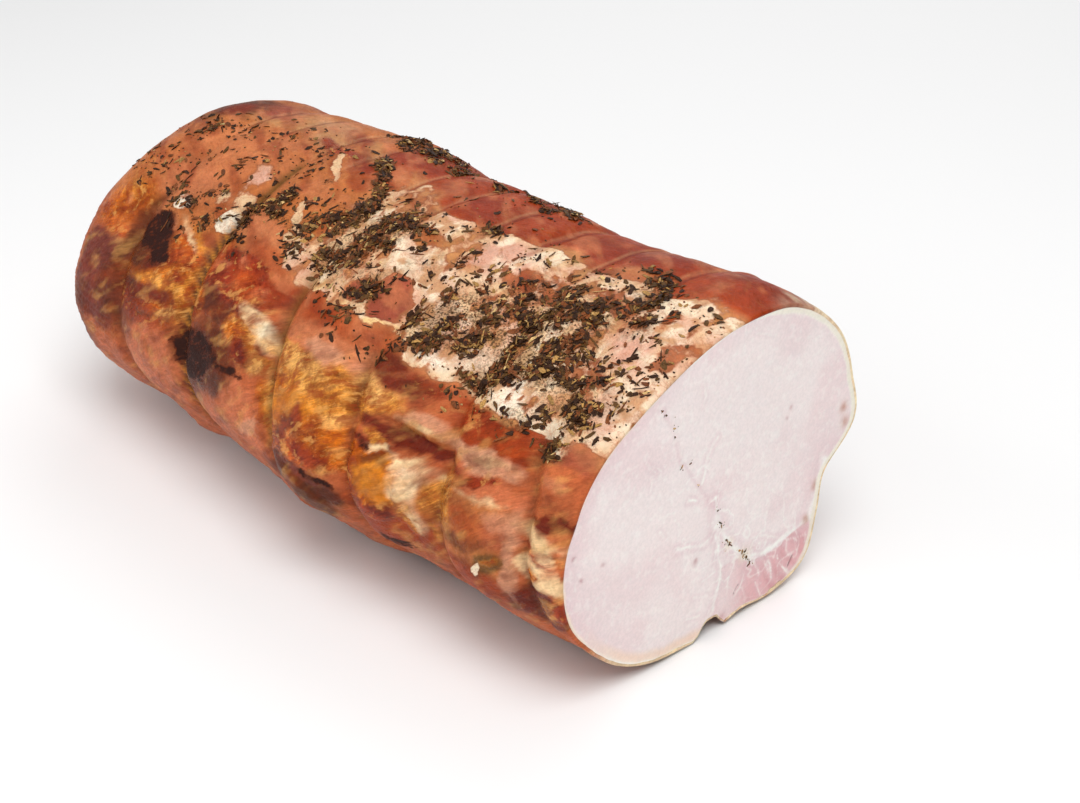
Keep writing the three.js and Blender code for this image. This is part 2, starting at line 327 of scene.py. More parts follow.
    def short_strength(self, turn: Array) -> Array:
        """How deep the marks across the top are at each turn, from 0 to 1."""
        share = np.abs(turn_between(turn, self.short_turn)) / self.short_reach
        return np.where(share < 1.0, np.cos(np.minimum(share, 1.0) * math.pi / 2), 0.0)

    def swell(self, back: Array, turn: Array) -> Array:
        """Height of the meat's swelling between two string marks."""
        marks = [np.full(len(back), -self.swell_before_cut)]
        marks += [self.ring_back(k, turn) for k in range(len(self.ring_marks))]
        marks += [np.full(len(back), self.length - self.swell_before_tip)]
        height = np.zeros(len(back))
        for low, high in zip(marks[:-1], marks[1:]):
            share = (back - low) / (high - low)
            inside = (share >= 0.0) & (share < 1.0)
            arch = np.sqrt(np.maximum(np.sin(math.pi * np.clip(share, 0.0, 1.0)), 0.0))
            height = np.where(inside, self.swell_height * arch - self.swell_mean, height)
        return height

    def ring_share(self, turn: Array) -> Array:
        """How deep the string marks are pressed at each turn, as a share of their depth."""
        deepest = np.zeros(len(turn))
        for middle, half, most in self.ring_presses:
            deepest = np.maximum(deepest, most * bell(turn_between(turn, middle), half))
        return self.ring_least + (1.0 - self.ring_least) * deepest

    def relief(self, back: Array, turn: Array) -> Array:
        """How far the outside stands out of its smooth section, in mm."""
        height = self.swell(back, turn)
        for k, ring in enumerate(self.ring_marks):
            depth = ring[2] * self.ring_share(turn)
            height -= depth * bell(back - self.ring_back(k, turn), self.ring_width)
        for place, depth in self.short_marks:
            height -= depth * self.short_strength(turn) * bell(back - place, self.short_width)
        for place, angle, half_length, half_turn, size in self.lumps:
            height += size * bell(back - place, half_length) * bell(
                turn_between(turn, angle), half_turn
            )
        furrow_turn, furrow_half, depth = self.seam_furrow
        left = np.clip(1.0 - back / self.furrow_length, 0.0, 1.0)
        height -= depth * left * np.exp(-((turn_between(turn, furrow_turn) / furrow_half) ** 4))
        return height

    def outside(self, back: Array, turn: Array, proud: Array | float = 0.0) -> Array:
        """Points of the outside.

        Args:
            back: Distances behind the cut face, in mm.
            turn: Angles round the loin, in degrees.
            proud: Height above the coarse outside, in mm.

        Returns:
            Rows of x, y and z, in mm.
        """
        back, turn = np.broadcast_arrays(np.asarray(back, float), np.asarray(turn, float))
        scale = self.station_value(1, back)
        share = np.clip((back - self.dome_start) / (self.length - self.dome_start), 0, 1)
        dome = (1.0 - share**self.dome_power) ** (1.0 / self.dome_power)
        radius = self.section_radius(turn) + self.relief(back, turn) + proud
        reach = radius * scale * dome
        angle = np.radians(turn)
        y = reach * np.cos(angle) + self.station_value(2, back) + self.side_shift
        z = self.centre_height * scale + reach * np.sin(angle)
        return np.stack([self.length / 2 - back, y, z], axis=-1)

    def place_of(self, points: Array) -> tuple[Array, Array]:
        """The back distance and the turn, from -90 to 270, of points in mm."""
        back = self.length / 2 - points[:, 0]
        y = points[:, 1] - self.side_shift - self.station_value(2, back)
        z = points[:, 2] - self.centre_height * self.station_value(1, back)
        turn = np.degrees(np.arctan2(z, y))
        return back, (turn + 90.0) % 360.0 - 90.0


# ---- colours of the outside ----


class Tone(Enum):
    """Named colours of the roast, as screen values from 0 to 255."""

    SALMON = (178, 92, 56)
    SALMON_PALE = (196, 118, 82)
    TERRACOTTA = (152, 56, 20)
    BRICK = (130, 40, 18)
    ORANGE_TAN = (184, 108, 62)
    TAN = (190, 134, 88)
    CREAM = (222, 184, 142)
    IVORY = (240, 220, 190)
    WHITE_FAT = (238, 222, 198)
    # white fat on the glazed near side, partly a painted highlight
    WARM_WHITE = (240, 206, 164)
    PINK_FAT = (214, 162, 138)
    YELLOW_FAT = (234, 196, 134)
    ROSE = (158, 78, 60)
    RED_GLAZE = (136, 42, 20)
    ORANGE_GLAZE = (172, 72, 22)
    AMBER = (184, 92, 20)
    BRIGHT_AMBER = (220, 134, 34)
    GOLD = (208, 134, 54)
    PALE_GOLD = (220, 164, 96)
    ROSY_SALMON = (194, 108, 74)
    DUSTY_PINK = (204, 146, 118)
    MAROON = (106, 34, 20)
    UMBER = (88, 40, 22)
    PLUM = (116, 56, 50)
    CHAR = (44, 32, 34)
    OLIVE = (104, 72, 34)
    # painted shade: darkens the lower edge, the underside and the bottoms of the string marks
    SHADE = (88, 46, 24)
    HERB_STAIN = (146, 102, 56)


FAT_TONES = frozenset(
    (Tone.CREAM, Tone.IVORY, Tone.WHITE_FAT, Tone.WARM_WHITE, Tone.PINK_FAT, Tone.YELLOW_FAT)
)
SWIRLED_TONES = frozenset(
    (Tone.RED_GLAZE, Tone.ORANGE_GLAZE, Tone.AMBER, Tone.GOLD, Tone.PALE_GOLD)
)


NEAR_EDGE = 146.0  # the turn at which the pale top ends and the glazed near side starts


@dataclass(frozen=True)
class Patch:
    """A spot of one tone on the outside, with a ragged, soft edge.

    Sizes are half lengths in mm along the loin and half widths in degrees round it. "slant" leans
    the spot, in degrees: behind its middle, a positive one takes it to greater turns. A larger
    "corner" squares it off, and "glaze" sets how glossy it is.
    """

    tone: Tone
    back: float
    turn: float
    half_back: float
    half_turn: float
    slant: float = 0.0
    soft: float = 0.3
    strength: float = 1.0
    ragged: float = 0.5
    corner: float = 2.0
    glaze: Optional[float] = None
    smeared: bool = False

    MM_PER_DEGREE = 0.9
    CRISP_NEAR = 0.62
    CRISP_TOP = 0.8
    RAGGED_REACH = 4.0
    LEAST_RAGGED = 0.08

    def weight(self, back: Array, turn: Array, rough: Array) -> Array:
        """How much of the tone each place takes.

        Args:
            back: Distances behind the cut face.
            turn: Angles round the loin.
            rough: Noise from -1 to 1 that makes the edge ragged.

        Returns:
            One share for each place, from 0 to 1.
        """
        half_width = self.half_turn * self.MM_PER_DEGREE
        around = turn_between(turn, self.turn) * self.MM_PER_DEGREE
        along, across = turned(back - self.back, around, self.slant)
        u, v = np.abs(along) / self.half_back, np.abs(across) / half_width
        far = (u**self.corner + v**self.corner) ** (1.0 / self.corner)
        reach = self.RAGGED_REACH / min(self.half_back, half_width) + self.LEAST_RAGGED
        far = far + self.ragged * rough * min(1.0, reach)
        soft = self.soft * (self.CRISP_NEAR if self.turn > NEAR_EDGE else self.CRISP_TOP)
        return self.strength * (1.0 - ease(1.0 - soft, 1.0 + soft, far))


@dataclass(frozen=True)
class Smear(Patch):
    """A patch that is wiped thin along the grain, so that the meat shows through in streaks."""

    smeared: bool = True


CRUST_PATCHES: tuple[Patch, ...] = (
    # columns: tone, back, turn, half length, half width, slant, softness, strength
    # smooth red-brown meat along the top's far side
    Patch(Tone.TERRACOTTA, 55, 38, 92, 42, 0, 0.04, corner=8),
    Patch(Tone.BRICK, 43, 67, 11, 12, 0, 0.6, 0.85),
    Patch(Tone.BRICK, 8, 62, 12, 12, 0, 0.6, 0.6),
    # pale fat along the top
    Patch(Tone.TAN, 52, 116.5, 82, 34.5, 0, 0.06, 0.8, corner=8),
    Patch(Tone.CREAM, 52, 117, 80, 33.2, 0, 0.05, corner=8),
    Patch(Tone.TERRACOTTA, 98, 74, 23, 14.5, 0, 0.08, corner=3),
    Patch(Tone.BRICK, 97, 78, 9, 8, 0, 0.7, 0.75),
    Patch(Tone.TERRACOTTA, 74, 76, 9, 9.5, 0, 0.1),
    # orange-tan end
    Patch(Tone.ORANGE_TAN, 190, 98, 60, 46, 0, 0.06, corner=6),
    Patch(Tone.TERRACOTTA, 136, 76, 14, 18, -20, 0.2),
    Patch(Tone.TAN, 194, 80, 27, 5, -4, 0.6, 0.75),
    Smear(Tone.PINK_FAT, 177, 76, 12, 6, -25, 0.6, 0.6),
    Patch(Tone.ROSE, 206, 70, 12, 9, 0, 0.6, 0.9),
    Patch(Tone.UMBER, 222, 77, 12, 13, 0, 0.4, 0.95),
    Patch(Tone.OLIVE, 224, 94, 7, 5, 0, 0.6, 0.6),
    Patch(Tone.BRICK, 218, 80, 5, 8, 0, 0.5, 0.7),
    Patch(Tone.SALMON_PALE, 190, 104, 32, 13, 0, 0.8, 0.6),
    Patch(Tone.TAN, 180, 74, 20, 8, -10, 0.5, 0.7),
    Patch(Tone.DUSTY_PINK, 180, 68, 12, 5, -10, 0.6, 0.4),
    Patch(Tone.BRICK, 160, 73, 11, 2.4, -30, 0.5, 0.9),
    Patch(Tone.BRICK, 140, 67, 12, 8, 0, 0.5, 0.7),
    Patch(Tone.SALMON, 134, 82, 7, 6, 0, 0.6, 0.8),
    Patch(Tone.CREAM, 117, 89, 14, 6, -32, 0.3, 0.95),
    Smear(Tone.TAN, 118, 87, 15, 7, -38, 0.6, 0.6),
    Patch(Tone.YELLOW_FAT, 148, 80, 4, 3.6, -50, 0.5, 0.8),
    Patch(Tone.TAN, 152, 76, 9, 3, -40, 0.6, 0.7),
    Patch(Tone.BRICK, 164, 76, 12, 2.2, -40, 0.5, 0.5),
    Patch(Tone.RED_GLAZE, 163, 83, 11, 2.6, -14, 0.4, 0.9, glaze=0.7),
    Patch(Tone.BRICK, 146, 89, 15, 4.2, -34, 0.35, 0.65, glaze=0.4),
    Patch(Tone.CREAM, 152, 93, 10, 1.6, -42, 0.6, 0.9),
    Patch(Tone.CREAM, 143.5, 119.5, 1.6, 6, 30, 0.4, 0.95),
    Patch(Tone.PINK_FAT, 172, 113, 4, 7, 10, 0.7, 0.6),
    Patch(Tone.AMBER, 213, 143, 12, 7, 20, 0.8, 0.7, glaze=0.6),
    Patch(Tone.AMBER, 217, 126, 6, 9, 0, 0.8, 0.4),
    Patch(Tone.ROSE, 186, 128, 20, 9, 0, 0.8, 0.15),
    Patch(Tone.WHITE_FAT, 190.5, 136, 4.2, 4.4, 35, 0.3, glaze=0.3),
    Patch(Tone.WHITE_FAT, 167, 135, 2.6, 5.4, 20, 0.3, glaze=0.3),
    Patch(Tone.CREAM, 168, 126, 4, 6, 20, 0.6, 0.8),
    Patch(Tone.CREAM, 178, 127, 4, 4, 0, 0.6, 0.7),
    Patch(Tone.SALMON_PALE, 198, 125, 16, 11, 0, 0.7, 0.8),
    Patch(Tone.SALMON_PALE, 150, 131, 12, 5, -15, 0.5, 0.8),
    Patch(Tone.SALMON, 135, 140, 14, 4, -10, 0.5, 0.9),
    Patch(Tone.CREAM, 134, 131, 7, 3.8, -30, 0.5, 0.85),
    Patch(Tone.CREAM, 127, 136, 4, 3, -30, 0.5, 0.5),
    # variations of the pale fat
    Patch(Tone.ORANGE_TAN, 118, 91, 18, 3, 0, 0.8, 0.2),
    Patch(Tone.PINK_FAT, 72, 98, 9, 11, 0, 0.5, 0.9),
    Smear(Tone.TAN, 94, 105, 8, 6, 0, 0.7, 0.5),
    Smear(Tone.SALMON, 56, 102, 9, 6, 0, 0.7, 0.7),
    Smear(Tone.SALMON, 17, 106, 7, 6, 0, 0.7, 0.6),
    Patch(Tone.IVORY, 97.5, 116, 3.6, 9, 20, 0.3, 0.9),
    Patch(Tone.IVORY, 81, 117, 4, 10, 15, 0.4, 0.9),
    Patch(Tone.ORANGE_TAN, 96, 103, 5, 3.5, 0, 0.7, 0.7),
    Patch(Tone.BRICK, 44, 84, 12, 2.5, 0, 0.5, 0.6),
    Patch(Tone.TERRACOTTA, 24, 83, 5, 3, 0, 0.5, 0.8),
    Patch(Tone.IVORY, 33, 92, 8, 2.5, 10, 0.4, 0.9),
    Patch(Tone.BRICK, 32, 99, 9, 5.5, -20, 0.5, 0.65),
    Patch(Tone.TERRACOTTA, 14, 97, 5, 4, 0, 0.5, 0.8),
    Patch(Tone.TERRACOTTA, 17, 79, 8, 6, 0, 0.5, 0.85),
    Patch(Tone.IVORY, 9, 101, 5, 8, 15, 0.3, 0.95),
    Patch(Tone.IVORY, 8, 86, 8, 6, 0, 0.7, 0.6),
    Patch(Tone.PINK_FAT, 16, 114, 8, 8, 10, 0.4, 0.95),
    Patch(Tone.ROSE, 5, 112, 3, 7, 10, 0.5, 0.6),
    Patch(Tone.ROSE, 60, 104, 12, 5, 0, 0.7, 0.45),
    Patch(Tone.ROSE, 55, 114, 10, 5, 0, 0.7, 0.4),
    Patch(Tone.ROSE, 120, 100, 10, 5, 0, 0.7, 0.35),
    Patch(Tone.ROSE, 20, 128, 7, 8, 0, 0.7, 0.5),
    Patch(Tone.ROSE, 6, 152, 6, 5, 0, 0.6, 0.7),
    Patch(Tone.ROSE, 88.6, 130.5, 5.4, 9.4, 14, 0.2, glaze=0.4),
    Patch(Tone.ROSE, 99, 134, 3, 5, 30, 0.4, 0.9),
    Patch(Tone.YELLOW_FAT, 85.5, 142, 6, 3.4, 0, 0.4),
    Patch(Tone.YELLOW_FAT, 110, 139, 10, 3, -8, 0.5, 0.8),
    Patch(Tone.WHITE_FAT, 33, 143, 7, 6, 0, 0.4),
    Patch(Tone.IVORY, 22, 147, 9, 3, 0, 0.5, 0.9),
    Patch(Tone.WHITE_FAT, 63, 143.5, 6, 3, 0, 0.5, 0.9),
    Patch(Tone.IVORY, 55, 138, 6, 5, 0, 0.5, 0.8),
    Patch(Tone.IVORY, 15, 152, 6, 3, 0, 0.5, 0.8),
    Patch(Tone.IVORY, 4, 134, 5, 12, 0, 0.5, 0.8),
    # salmon meat under the fat
    Patch(Tone.SALMON, 112, 148, 34, 7, 5, 0.3),
    Patch(Tone.BRICK, 125, 147, 10, 4, 12, 0.6, 0.7),
    Patch(Tone.TERRACOTTA, 103, 147, 10, 4, 0, 0.6, 0.7),
    # behind the sixth string mark
    Patch(Tone.AMBER, 213, 145, 12, 9, 10, 0.7, 0.8, glaze=0.7),
    Patch(Tone.GOLD, 214, 138, 8, 4, 0, 0.8, 0.5, glaze=0.7),
    Patch(Tone.ORANGE_GLAZE, 207, 154, 8, 3, -10, 0.7, 0.7, glaze=0.7),
    Patch(Tone.PLUM, 211, 170, 14, 14, 0, 0.25, 0.97, corner=3),
    # painted shade along the lower edge
    Patch(Tone.SHADE, 222, 188, 8, 12, 0, 0.7, 0.5),
    Patch(Tone.UMBER, 200, 152, 3.4, 18, 0, 0.6, 0.8, glaze=0.5),
    # between the sixth and the fifth string mark
    Patch(Tone.AMBER, 181, 160, 19, 14, 0, 0.2, corner=4, glaze=0.9),
    Patch(Tone.GOLD, 173, 154.5, 10, 5.5, 0, 0.6, 0.3, glaze=1.0),
    Patch(Tone.GOLD, 177, 162.6, 13, 1.8, 3, 0.5, 0.9, glaze=0.9),
    Patch(Tone.RED_GLAZE, 177, 153.5, 4, 2.6, 30, 0.5, 0.85, glaze=0.9),
    Patch(Tone.RED_GLAZE, 169, 158.5, 4, 1.5, -20, 0.5, 0.8, glaze=0.9),
    Patch(Tone.ORANGE_GLAZE, 168, 151, 4, 2.4, 0, 0.5, 0.8, glaze=0.9),
    Patch(Tone.MAROON, 184, 167, 16, 2.8, 4, 0.5, 0.95, glaze=0.8),
    Patch(Tone.ORANGE_GLAZE, 173, 150, 8, 4, 0, 0.6, 0.8, glaze=0.9),
    Patch(Tone.PALE_GOLD, 169, 170, 6, 1.8, 8, 0.5, 0.9, glaze=0.8),
    Patch(Tone.GOLD, 164.6, 164, 2.2, 7, 0, 0.6, 0.8, glaze=0.9),
    Patch(Tone.ROSY_SALMON, 178, 185.5, 17, 12, 0, 0.2, corner=4),
    Patch(Tone.SALMON, 184, 181, 9, 5, 0, 0.7, 0.6),
    Patch(Tone.UMBER, 197, 172, 12, 13, 0, 0.6, 0.75, glaze=0.5),
    Patch(Tone.RED_GLAZE, 186, 172, 11, 5, 0, 0.6, 0.6, glaze=0.6),
    Patch(Tone.UMBER, 178, 172.3, 7, 1.2, 4, 0.6, 0.8),
    Patch(Tone.UMBER, 191, 151, 11, 10, -20, 0.4, 0.95, glaze=0.6),
    Patch(Tone.CHAR, 193, 148, 9, 6.4, -20, 0.3, glaze=0.5),
    Patch(Tone.CHAR, 185, 152.5, 6, 3.6, -35, 0.3, glaze=0.5),
    Patch(Tone.MAROON, 184, 158.5, 5, 2.6, 0, 0.5, 0.9, glaze=0.7),
    Patch(Tone.CHAR, 185, 158, 3, 1.3, 0, 0.5, 0.8),
    # white fat streak, partly a painted highlight
    Smear(Tone.WARM_WHITE, 174.5, 145.4, 9.5, 1.3, -23, 0.5, 0.8, glaze=0.5),
    Patch(Tone.GOLD, 170, 145, 6, 1.4, -23, 0.6, 0.8, glaze=0.7),
    # between the fifth and the fourth string mark
    Patch(Tone.RED_GLAZE, 142, 152, 19, 9.5, 0, 0.2, corner=4, glaze=0.9),
    Patch(Tone.ORANGE_GLAZE, 138, 150, 8, 4, -20, 0.8, 0.6, glaze=0.9),
    Patch(Tone.ORANGE_GLAZE, 157.5, 150, 3.4, 8, 0, 0.6, 0.7, glaze=0.8),
    Patch(Tone.UMBER, 147, 160.5, 11, 4.8, 0, 0.5, 0.92, glaze=0.8),
    Patch(Tone.AMBER, 158, 162, 4, 5.5, 0, 0.5, 0.95, glaze=0.9),
    Patch(Tone.MAROON, 152, 156.4, 9, 1.1, 0, 0.5, 0.9, glaze=0.8),
    Patch(Tone.AMBER, 132, 162, 8, 5, 0, 0.4, glaze=0.9),
    Patch(Tone.GOLD, 124, 165, 8, 4, 0, 0.4, glaze=0.9),
    Patch(Tone.PALE_GOLD, 121, 168, 4, 2.4, 0, 0.6, 0.8, glaze=0.9),
    Patch(Tone.RED_GLAZE, 128, 166, 3.4, 1.8, -20, 0.5, 0.9, glaze=0.9),
    Patch(Tone.MAROON, 120.5, 163.4, 2, 1.4, 0, 0.4, 0.9),
    Patch(Tone.RED_GLAZE, 137, 167.5, 14, 3.4, 4, 0.5, 0.95, glaze=0.8),
    Patch(Tone.ROSY_SALMON, 134, 184, 17, 11, 0, 0.25, corner=3),
    Patch(Tone.SALMON, 142, 185, 9, 7, 0, 0.7, 0.6),
    Patch(Tone.DUSTY_PINK, 122, 187, 7, 2.2, 35, 0.6, 0.8),
    Patch(Tone.MAROON, 156, 189, 8, 5.4, 30, 0.5, 0.9, glaze=0.5),
    Patch(Tone.UMBER, 148, 175.5, 17, 9.6, 8, 0.35, glaze=0.6),
    Patch(Tone.CHAR, 151.5, 175.5, 12, 7.2, 10, 0.3, glaze=0.6),
    Patch(Tone.CHAR, 141, 172, 5.4, 2.6, 0, 0.4, 0.9, glaze=0.6),
    Patch(Tone.CHAR, 131, 172.8, 5, 1.1, 6, 0.5, 0.8),
    # white fat streak, partly a painted highlight
    Smear(Tone.WARM_WHITE, 126, 157.4, 8.8, 4.1, -12, 0.4, glaze=0.6),
    Smear(Tone.IVORY, 121.5, 158.5, 4, 3, 0, 0.5, glaze=0.6),
    Patch(Tone.GOLD, 131, 160.6, 6, 1.1, -12, 0.6, 0.8, glaze=0.9),
    # between the fourth and the third string mark
    Patch(Tone.SALMON_PALE, 97, 153, 20, 5, 0, 0.4, 0.8),
    Patch(Tone.DUSTY_PINK, 91, 154.5, 9, 3, 0, 0.6, 0.8, glaze=0.5),
    Patch(Tone.GOLD, 97, 163, 19, 6.4, 0, 0.3, corner=3, glaze=0.8),
    Patch(Tone.PALE_GOLD, 104, 159.8, 12, 2.4, 3, 0.5, 0.6, glaze=0.7),
    Patch(Tone.AMBER, 97, 175.5, 19, 10, 0, 0.2, corner=4, glaze=1.0),
    Patch(Tone.GOLD, 88, 166.5, 8, 3.2, 8, 0.5, glaze=0.9),
    Patch(Tone.PALE_GOLD, 83.5, 169.5, 4.6, 2.2, 12, 0.7, 0.6, glaze=0.8),
    Patch(Tone.BRIGHT_AMBER, 101, 171, 10, 4, 6, 0.7, 0.7, glaze=1.0),
    Patch(Tone.BRIGHT_AMBER, 107, 178, 5, 6, 0, 0.7, 0.6, glaze=1.0),
    Patch(Tone.RED_GLAZE, 95.5, 173.5, 2.6, 3.6, 40, 0.5, 0.9, glaze=1.0),
    Patch(Tone.ORANGE_GLAZE, 97, 181.5, 15, 3.4, -4, 0.6, 0.9, glaze=1.0),
    Patch(Tone.RED_GLAZE, 92, 182, 8, 1.7, -6, 0.6, 0.8, glaze=0.9),
    Patch(Tone.GOLD, 112, 172, 2.8, 15, 0, 0.6, 0.6, glaze=0.7),
    Patch(Tone.UMBER, 96, 190, 17, 4, -5, 0.3, glaze=0.5),
    Patch(Tone.PLUM, 95, 187.6, 12, 1.5, -5, 0.5, 0.9),
    Patch(Tone.CHAR, 88, 187, 6, 0.9, -5, 0.4, 0.85),
    # painted shade along the lower edge
    Patch(Tone.SHADE, 96, 198, 18, 6, 0, 0.4, 0.9),
    # between the third and the second string mark
    Patch(Tone.SALMON, 62, 153.5, 15, 6, 0, 0.3, 0.9, corner=3),
    Patch(Tone.MAROON, 70, 152, 8, 4.2, -15, 0.5, 0.95, glaze=0.6),
    Patch(Tone.RED_GLAZE, 60, 150.5, 8, 2, -5, 0.6, 0.7, glaze=0.5),
    Patch(Tone.GOLD, 71, 160, 9, 3.6, 0, 0.4, 0.8, glaze=0.8),
    Patch(Tone.PALE_GOLD, 77, 158, 5, 4, 0, 0.6, 0.8, glaze=0.8),
    Patch(Tone.DUSTY_PINK, 55, 160.5, 8, 2.4, 0, 0.6, 0.8),
    Smear(Tone.CREAM, 55, 162.2, 7, 1.3, -3, 0.5, 0.95),
    Patch(Tone.MAROON, 60, 166.6, 14.5, 2.5, -2, 0.3, glaze=0.5),
    Patch(Tone.MAROON, 70.5, 171, 8, 1.9, 3, 0.3, glaze=0.5),
    Patch(Tone.CHAR, 72, 171.2, 3.4, 0.9, 0, 0.4, 0.85),
    Patch(Tone.GOLD, 70, 168.6, 4, 1.0, -8, 0.5, 0.9, glaze=0.6),
    Patch(Tone.TERRACOTTA, 64, 192, 15, 7, 0, 0.3, 0.95, corner=3, glaze=0.5),
    Patch(Tone.AMBER, 66, 179.4, 12.5, 7.4, 0, 0.15, corner=3, glaze=1.0),
    Patch(Tone.BRIGHT_AMBER, 63.5, 178.4, 8.4, 5, 0, 0.5, 0.95, glaze=1.0),
    Patch(Tone.ORANGE_GLAZE, 75.5, 182, 3.6, 5, 0, 0.6, 0.9, glaze=1.0),
    Patch(Tone.RED_GLAZE, 67, 187, 10.5, 1.7, 5, 0.4, 0.95, glaze=0.8),
    Patch(Tone.UMBER, 66, 174, 6, 1.0, -8, 0.5, 0.7, glaze=0.8),
    Patch(Tone.GOLD, 54.5, 185.5, 2.6, 5, 0, 0.5, 0.9, glaze=1.0),
    # white fat streaks, partly a painted highlight
    Smear(Tone.WARM_WHITE, 61, 171.6, 9.5, 1.1, -5, 0.5, 0.95, glaze=0.5),
    Smear(Tone.WARM_WHITE, 54.4, 175.6, 5.6, 5.2, 0, 0.35, glaze=0.7),
    Smear(Tone.IVORY, 53, 176, 3.6, 4.4, 0, 0.25, 0.95, glaze=0.7),
    Smear(Tone.WARM_WHITE, 51.4, 183, 3, 7, -4, 0.45, glaze=0.7),
    Patch(Tone.GOLD, 46.4, 182, 1.8, 10, 0, 0.5, 0.8, glaze=0.8),
    Patch(Tone.CHAR, 62, 199, 7, 2.6, 0, 0.5, 0.8),
    # between the second and the first string mark
    Patch(Tone.TERRACOTTA, 33, 155.6, 17, 5.2, 0, 0.15, corner=4),
    Patch(Tone.RED_GLAZE, 42, 154, 7, 3, 0, 0.6, 0.6),
    Patch(Tone.DUSTY_PINK, 33, 162.4, 16, 2.9, 0, 0.3, 0.95, corner=3),
    Smear(Tone.CREAM, 29, 161.8, 8, 1.2, 3, 0.6, 0.7),
    Patch(Tone.ROSY_SALMON, 31, 168.6, 16, 3, 0, 0.4, 0.8),
    Patch(Tone.RED_GLAZE, 31, 166.8, 7, 1.5, 4, 0.3, glaze=0.5),
    Patch(Tone.MAROON, 42, 168.2, 6.4, 1.5, -6, 0.4, 0.9, glaze=0.4),
    # white fat streak, partly a painted highlight
    Smear(Tone.WARM_WHITE, 34, 171.2, 17, 1.1, 2, 0.5, 0.9, glaze=0.5),
    Patch(Tone.ORANGE_TAN, 34, 181, 15, 9.5, 0, 0.25, corner=4),
    Patch(Tone.TERRACOTTA, 38, 179, 9, 5, 20, 0.7, 0.7, glaze=0.5),
    Patch(Tone.GOLD, 44, 177, 4.6, 7, 0, 0.6, 0.8, glaze=0.7),
    Patch(Tone.ROSE, 22, 177, 6, 4.6, 0, 0.5, 0.6),
    Patch(Tone.DUSTY_PINK, 21.5, 175, 5, 2.6, 0, 0.6, 0.6),
    Patch(Tone.UMBER, 33, 183.5, 8, 2.6, 15, 0.6, 0.7),
    Patch(Tone.TERRACOTTA, 32, 195, 16, 6, 0, 0.4, 0.9),
    Patch(Tone.OLIVE, 24.5, 187.6, 6.4, 2.9, 32, 0.4, 0.9),
    Patch(Tone.IVORY, 27, 189.4, 2.2, 1.1, 32, 0.4, 0.95),
    Patch(Tone.GOLD, 23, 186.4, 3, 0.9, 32, 0.5, 0.9),
    Patch(Tone.DUSTY_PINK, 17.5, 187, 1.8, 13, -4, 0.6, 0.8),
    # in front of the first string mark
    Patch(Tone.SALMON, 9, 160.5, 10, 5, 0, 0.3, corner=3),
    Patch(Tone.DUSTY_PINK, 8, 160, 5, 2, 0, 0.6, 0.25),
    Patch(Tone.MAROON, 6.5, 168.8, 8.4, 1.6, 17, 0.3, glaze=0.4),
    Smear(Tone.CREAM, 7.6, 174.4, 7, 3.3, 0, 0.4, glaze=0.4),
    Patch(Tone.MAROON, 9, 192.5, 9.5, 6, 0, 0.25, glaze=0.6),
    Patch(Tone.RED_GLAZE, 3.4, 193, 7, 2.2, 60, 0.4, 0.95, glaze=0.7),
    # white fat streak, partly a painted highlight
    Smear(Tone.WARM_WHITE, 7.6, 182.6, 6.8, 4.5, 12, 0.2, glaze=0.5),
    Patch(Tone.GOLD, 9.2, 183.6, 4.2, 2.0, 12, 0.5, 0.95, glaze=0.8),
    Patch(Tone.ORANGE_GLAZE, 9.4, 184, 2.6, 0.9, 12, 0.5, 0.8, glaze=0.8),
    Patch(Tone.RED_GLAZE, 7, 178.2, 7, 0.9, -4, 0.5, 0.85),
    Smear(Tone.WHITE_FAT, -1, 8, 8, 50, 0, 0.5),
    Smear(Tone.PINK_FAT, -1, 318, 7, 34, 0, 0.5),
    # the far side and the underside: browned meat with a few dark and pale places
    Patch(Tone.BRICK, 120, 20, 36, 16, 10, 0.8, 0.6),
    Patch(Tone.PALE_GOLD, 170, 12, 26, 9, -12, 0.6, 0.7, glaze=0.8),
    Patch(Tone.AMBER, 176, 4, 22, 9, -10, 0.7, 0.7, glaze=0.9),
    Patch(Tone.UMBER, 190, 352, 16, 9, 14, 0.6, 0.8, glaze=0.6),
    Patch(Tone.AMBER, 84, 352, 24, 9, 8, 0.7, 0.7, glaze=0.9),
    Patch(Tone.RED_GLAZE, 60, 345, 22, 7, -8, 0.6, 0.8, glaze=0.8),
    Smear(Tone.PINK_FAT, 30, 8, 16, 10, 16, 0.5, 0.8),
    Smear(Tone.CREAM, 108, 336, 26, 5, 4, 0.6, 0.7),
    Patch(Tone.MAROON, 138, 338, 14, 8, -12, 0.6, 0.8, glaze=0.7),
    Patch(Tone.CHAR, 186, 350, 6, 4, -12, 0.6, 0.8),
    # painted shade over the underside
    Patch(Tone.SHADE, 110, 270, 140, 40, 0, 0.35, 0.45, corner=4),
    Smear(Tone.PINK_FAT, 90, 266, 90, 3.2, 0, 0.6, 0.7),
)


BROWNED_TONES: tuple[Tone, ...] = (
    Tone.RED_GLAZE,
    Tone.ORANGE_GLAZE,
    Tone.AMBER,
    Tone.MAROON,
    Tone.UMBER,
    Tone.GOLD,
    Tone.PALE_GOLD,
    Tone.ROSE,
    Tone.DUSTY_PINK,
    Tone.TERRACOTTA,
)


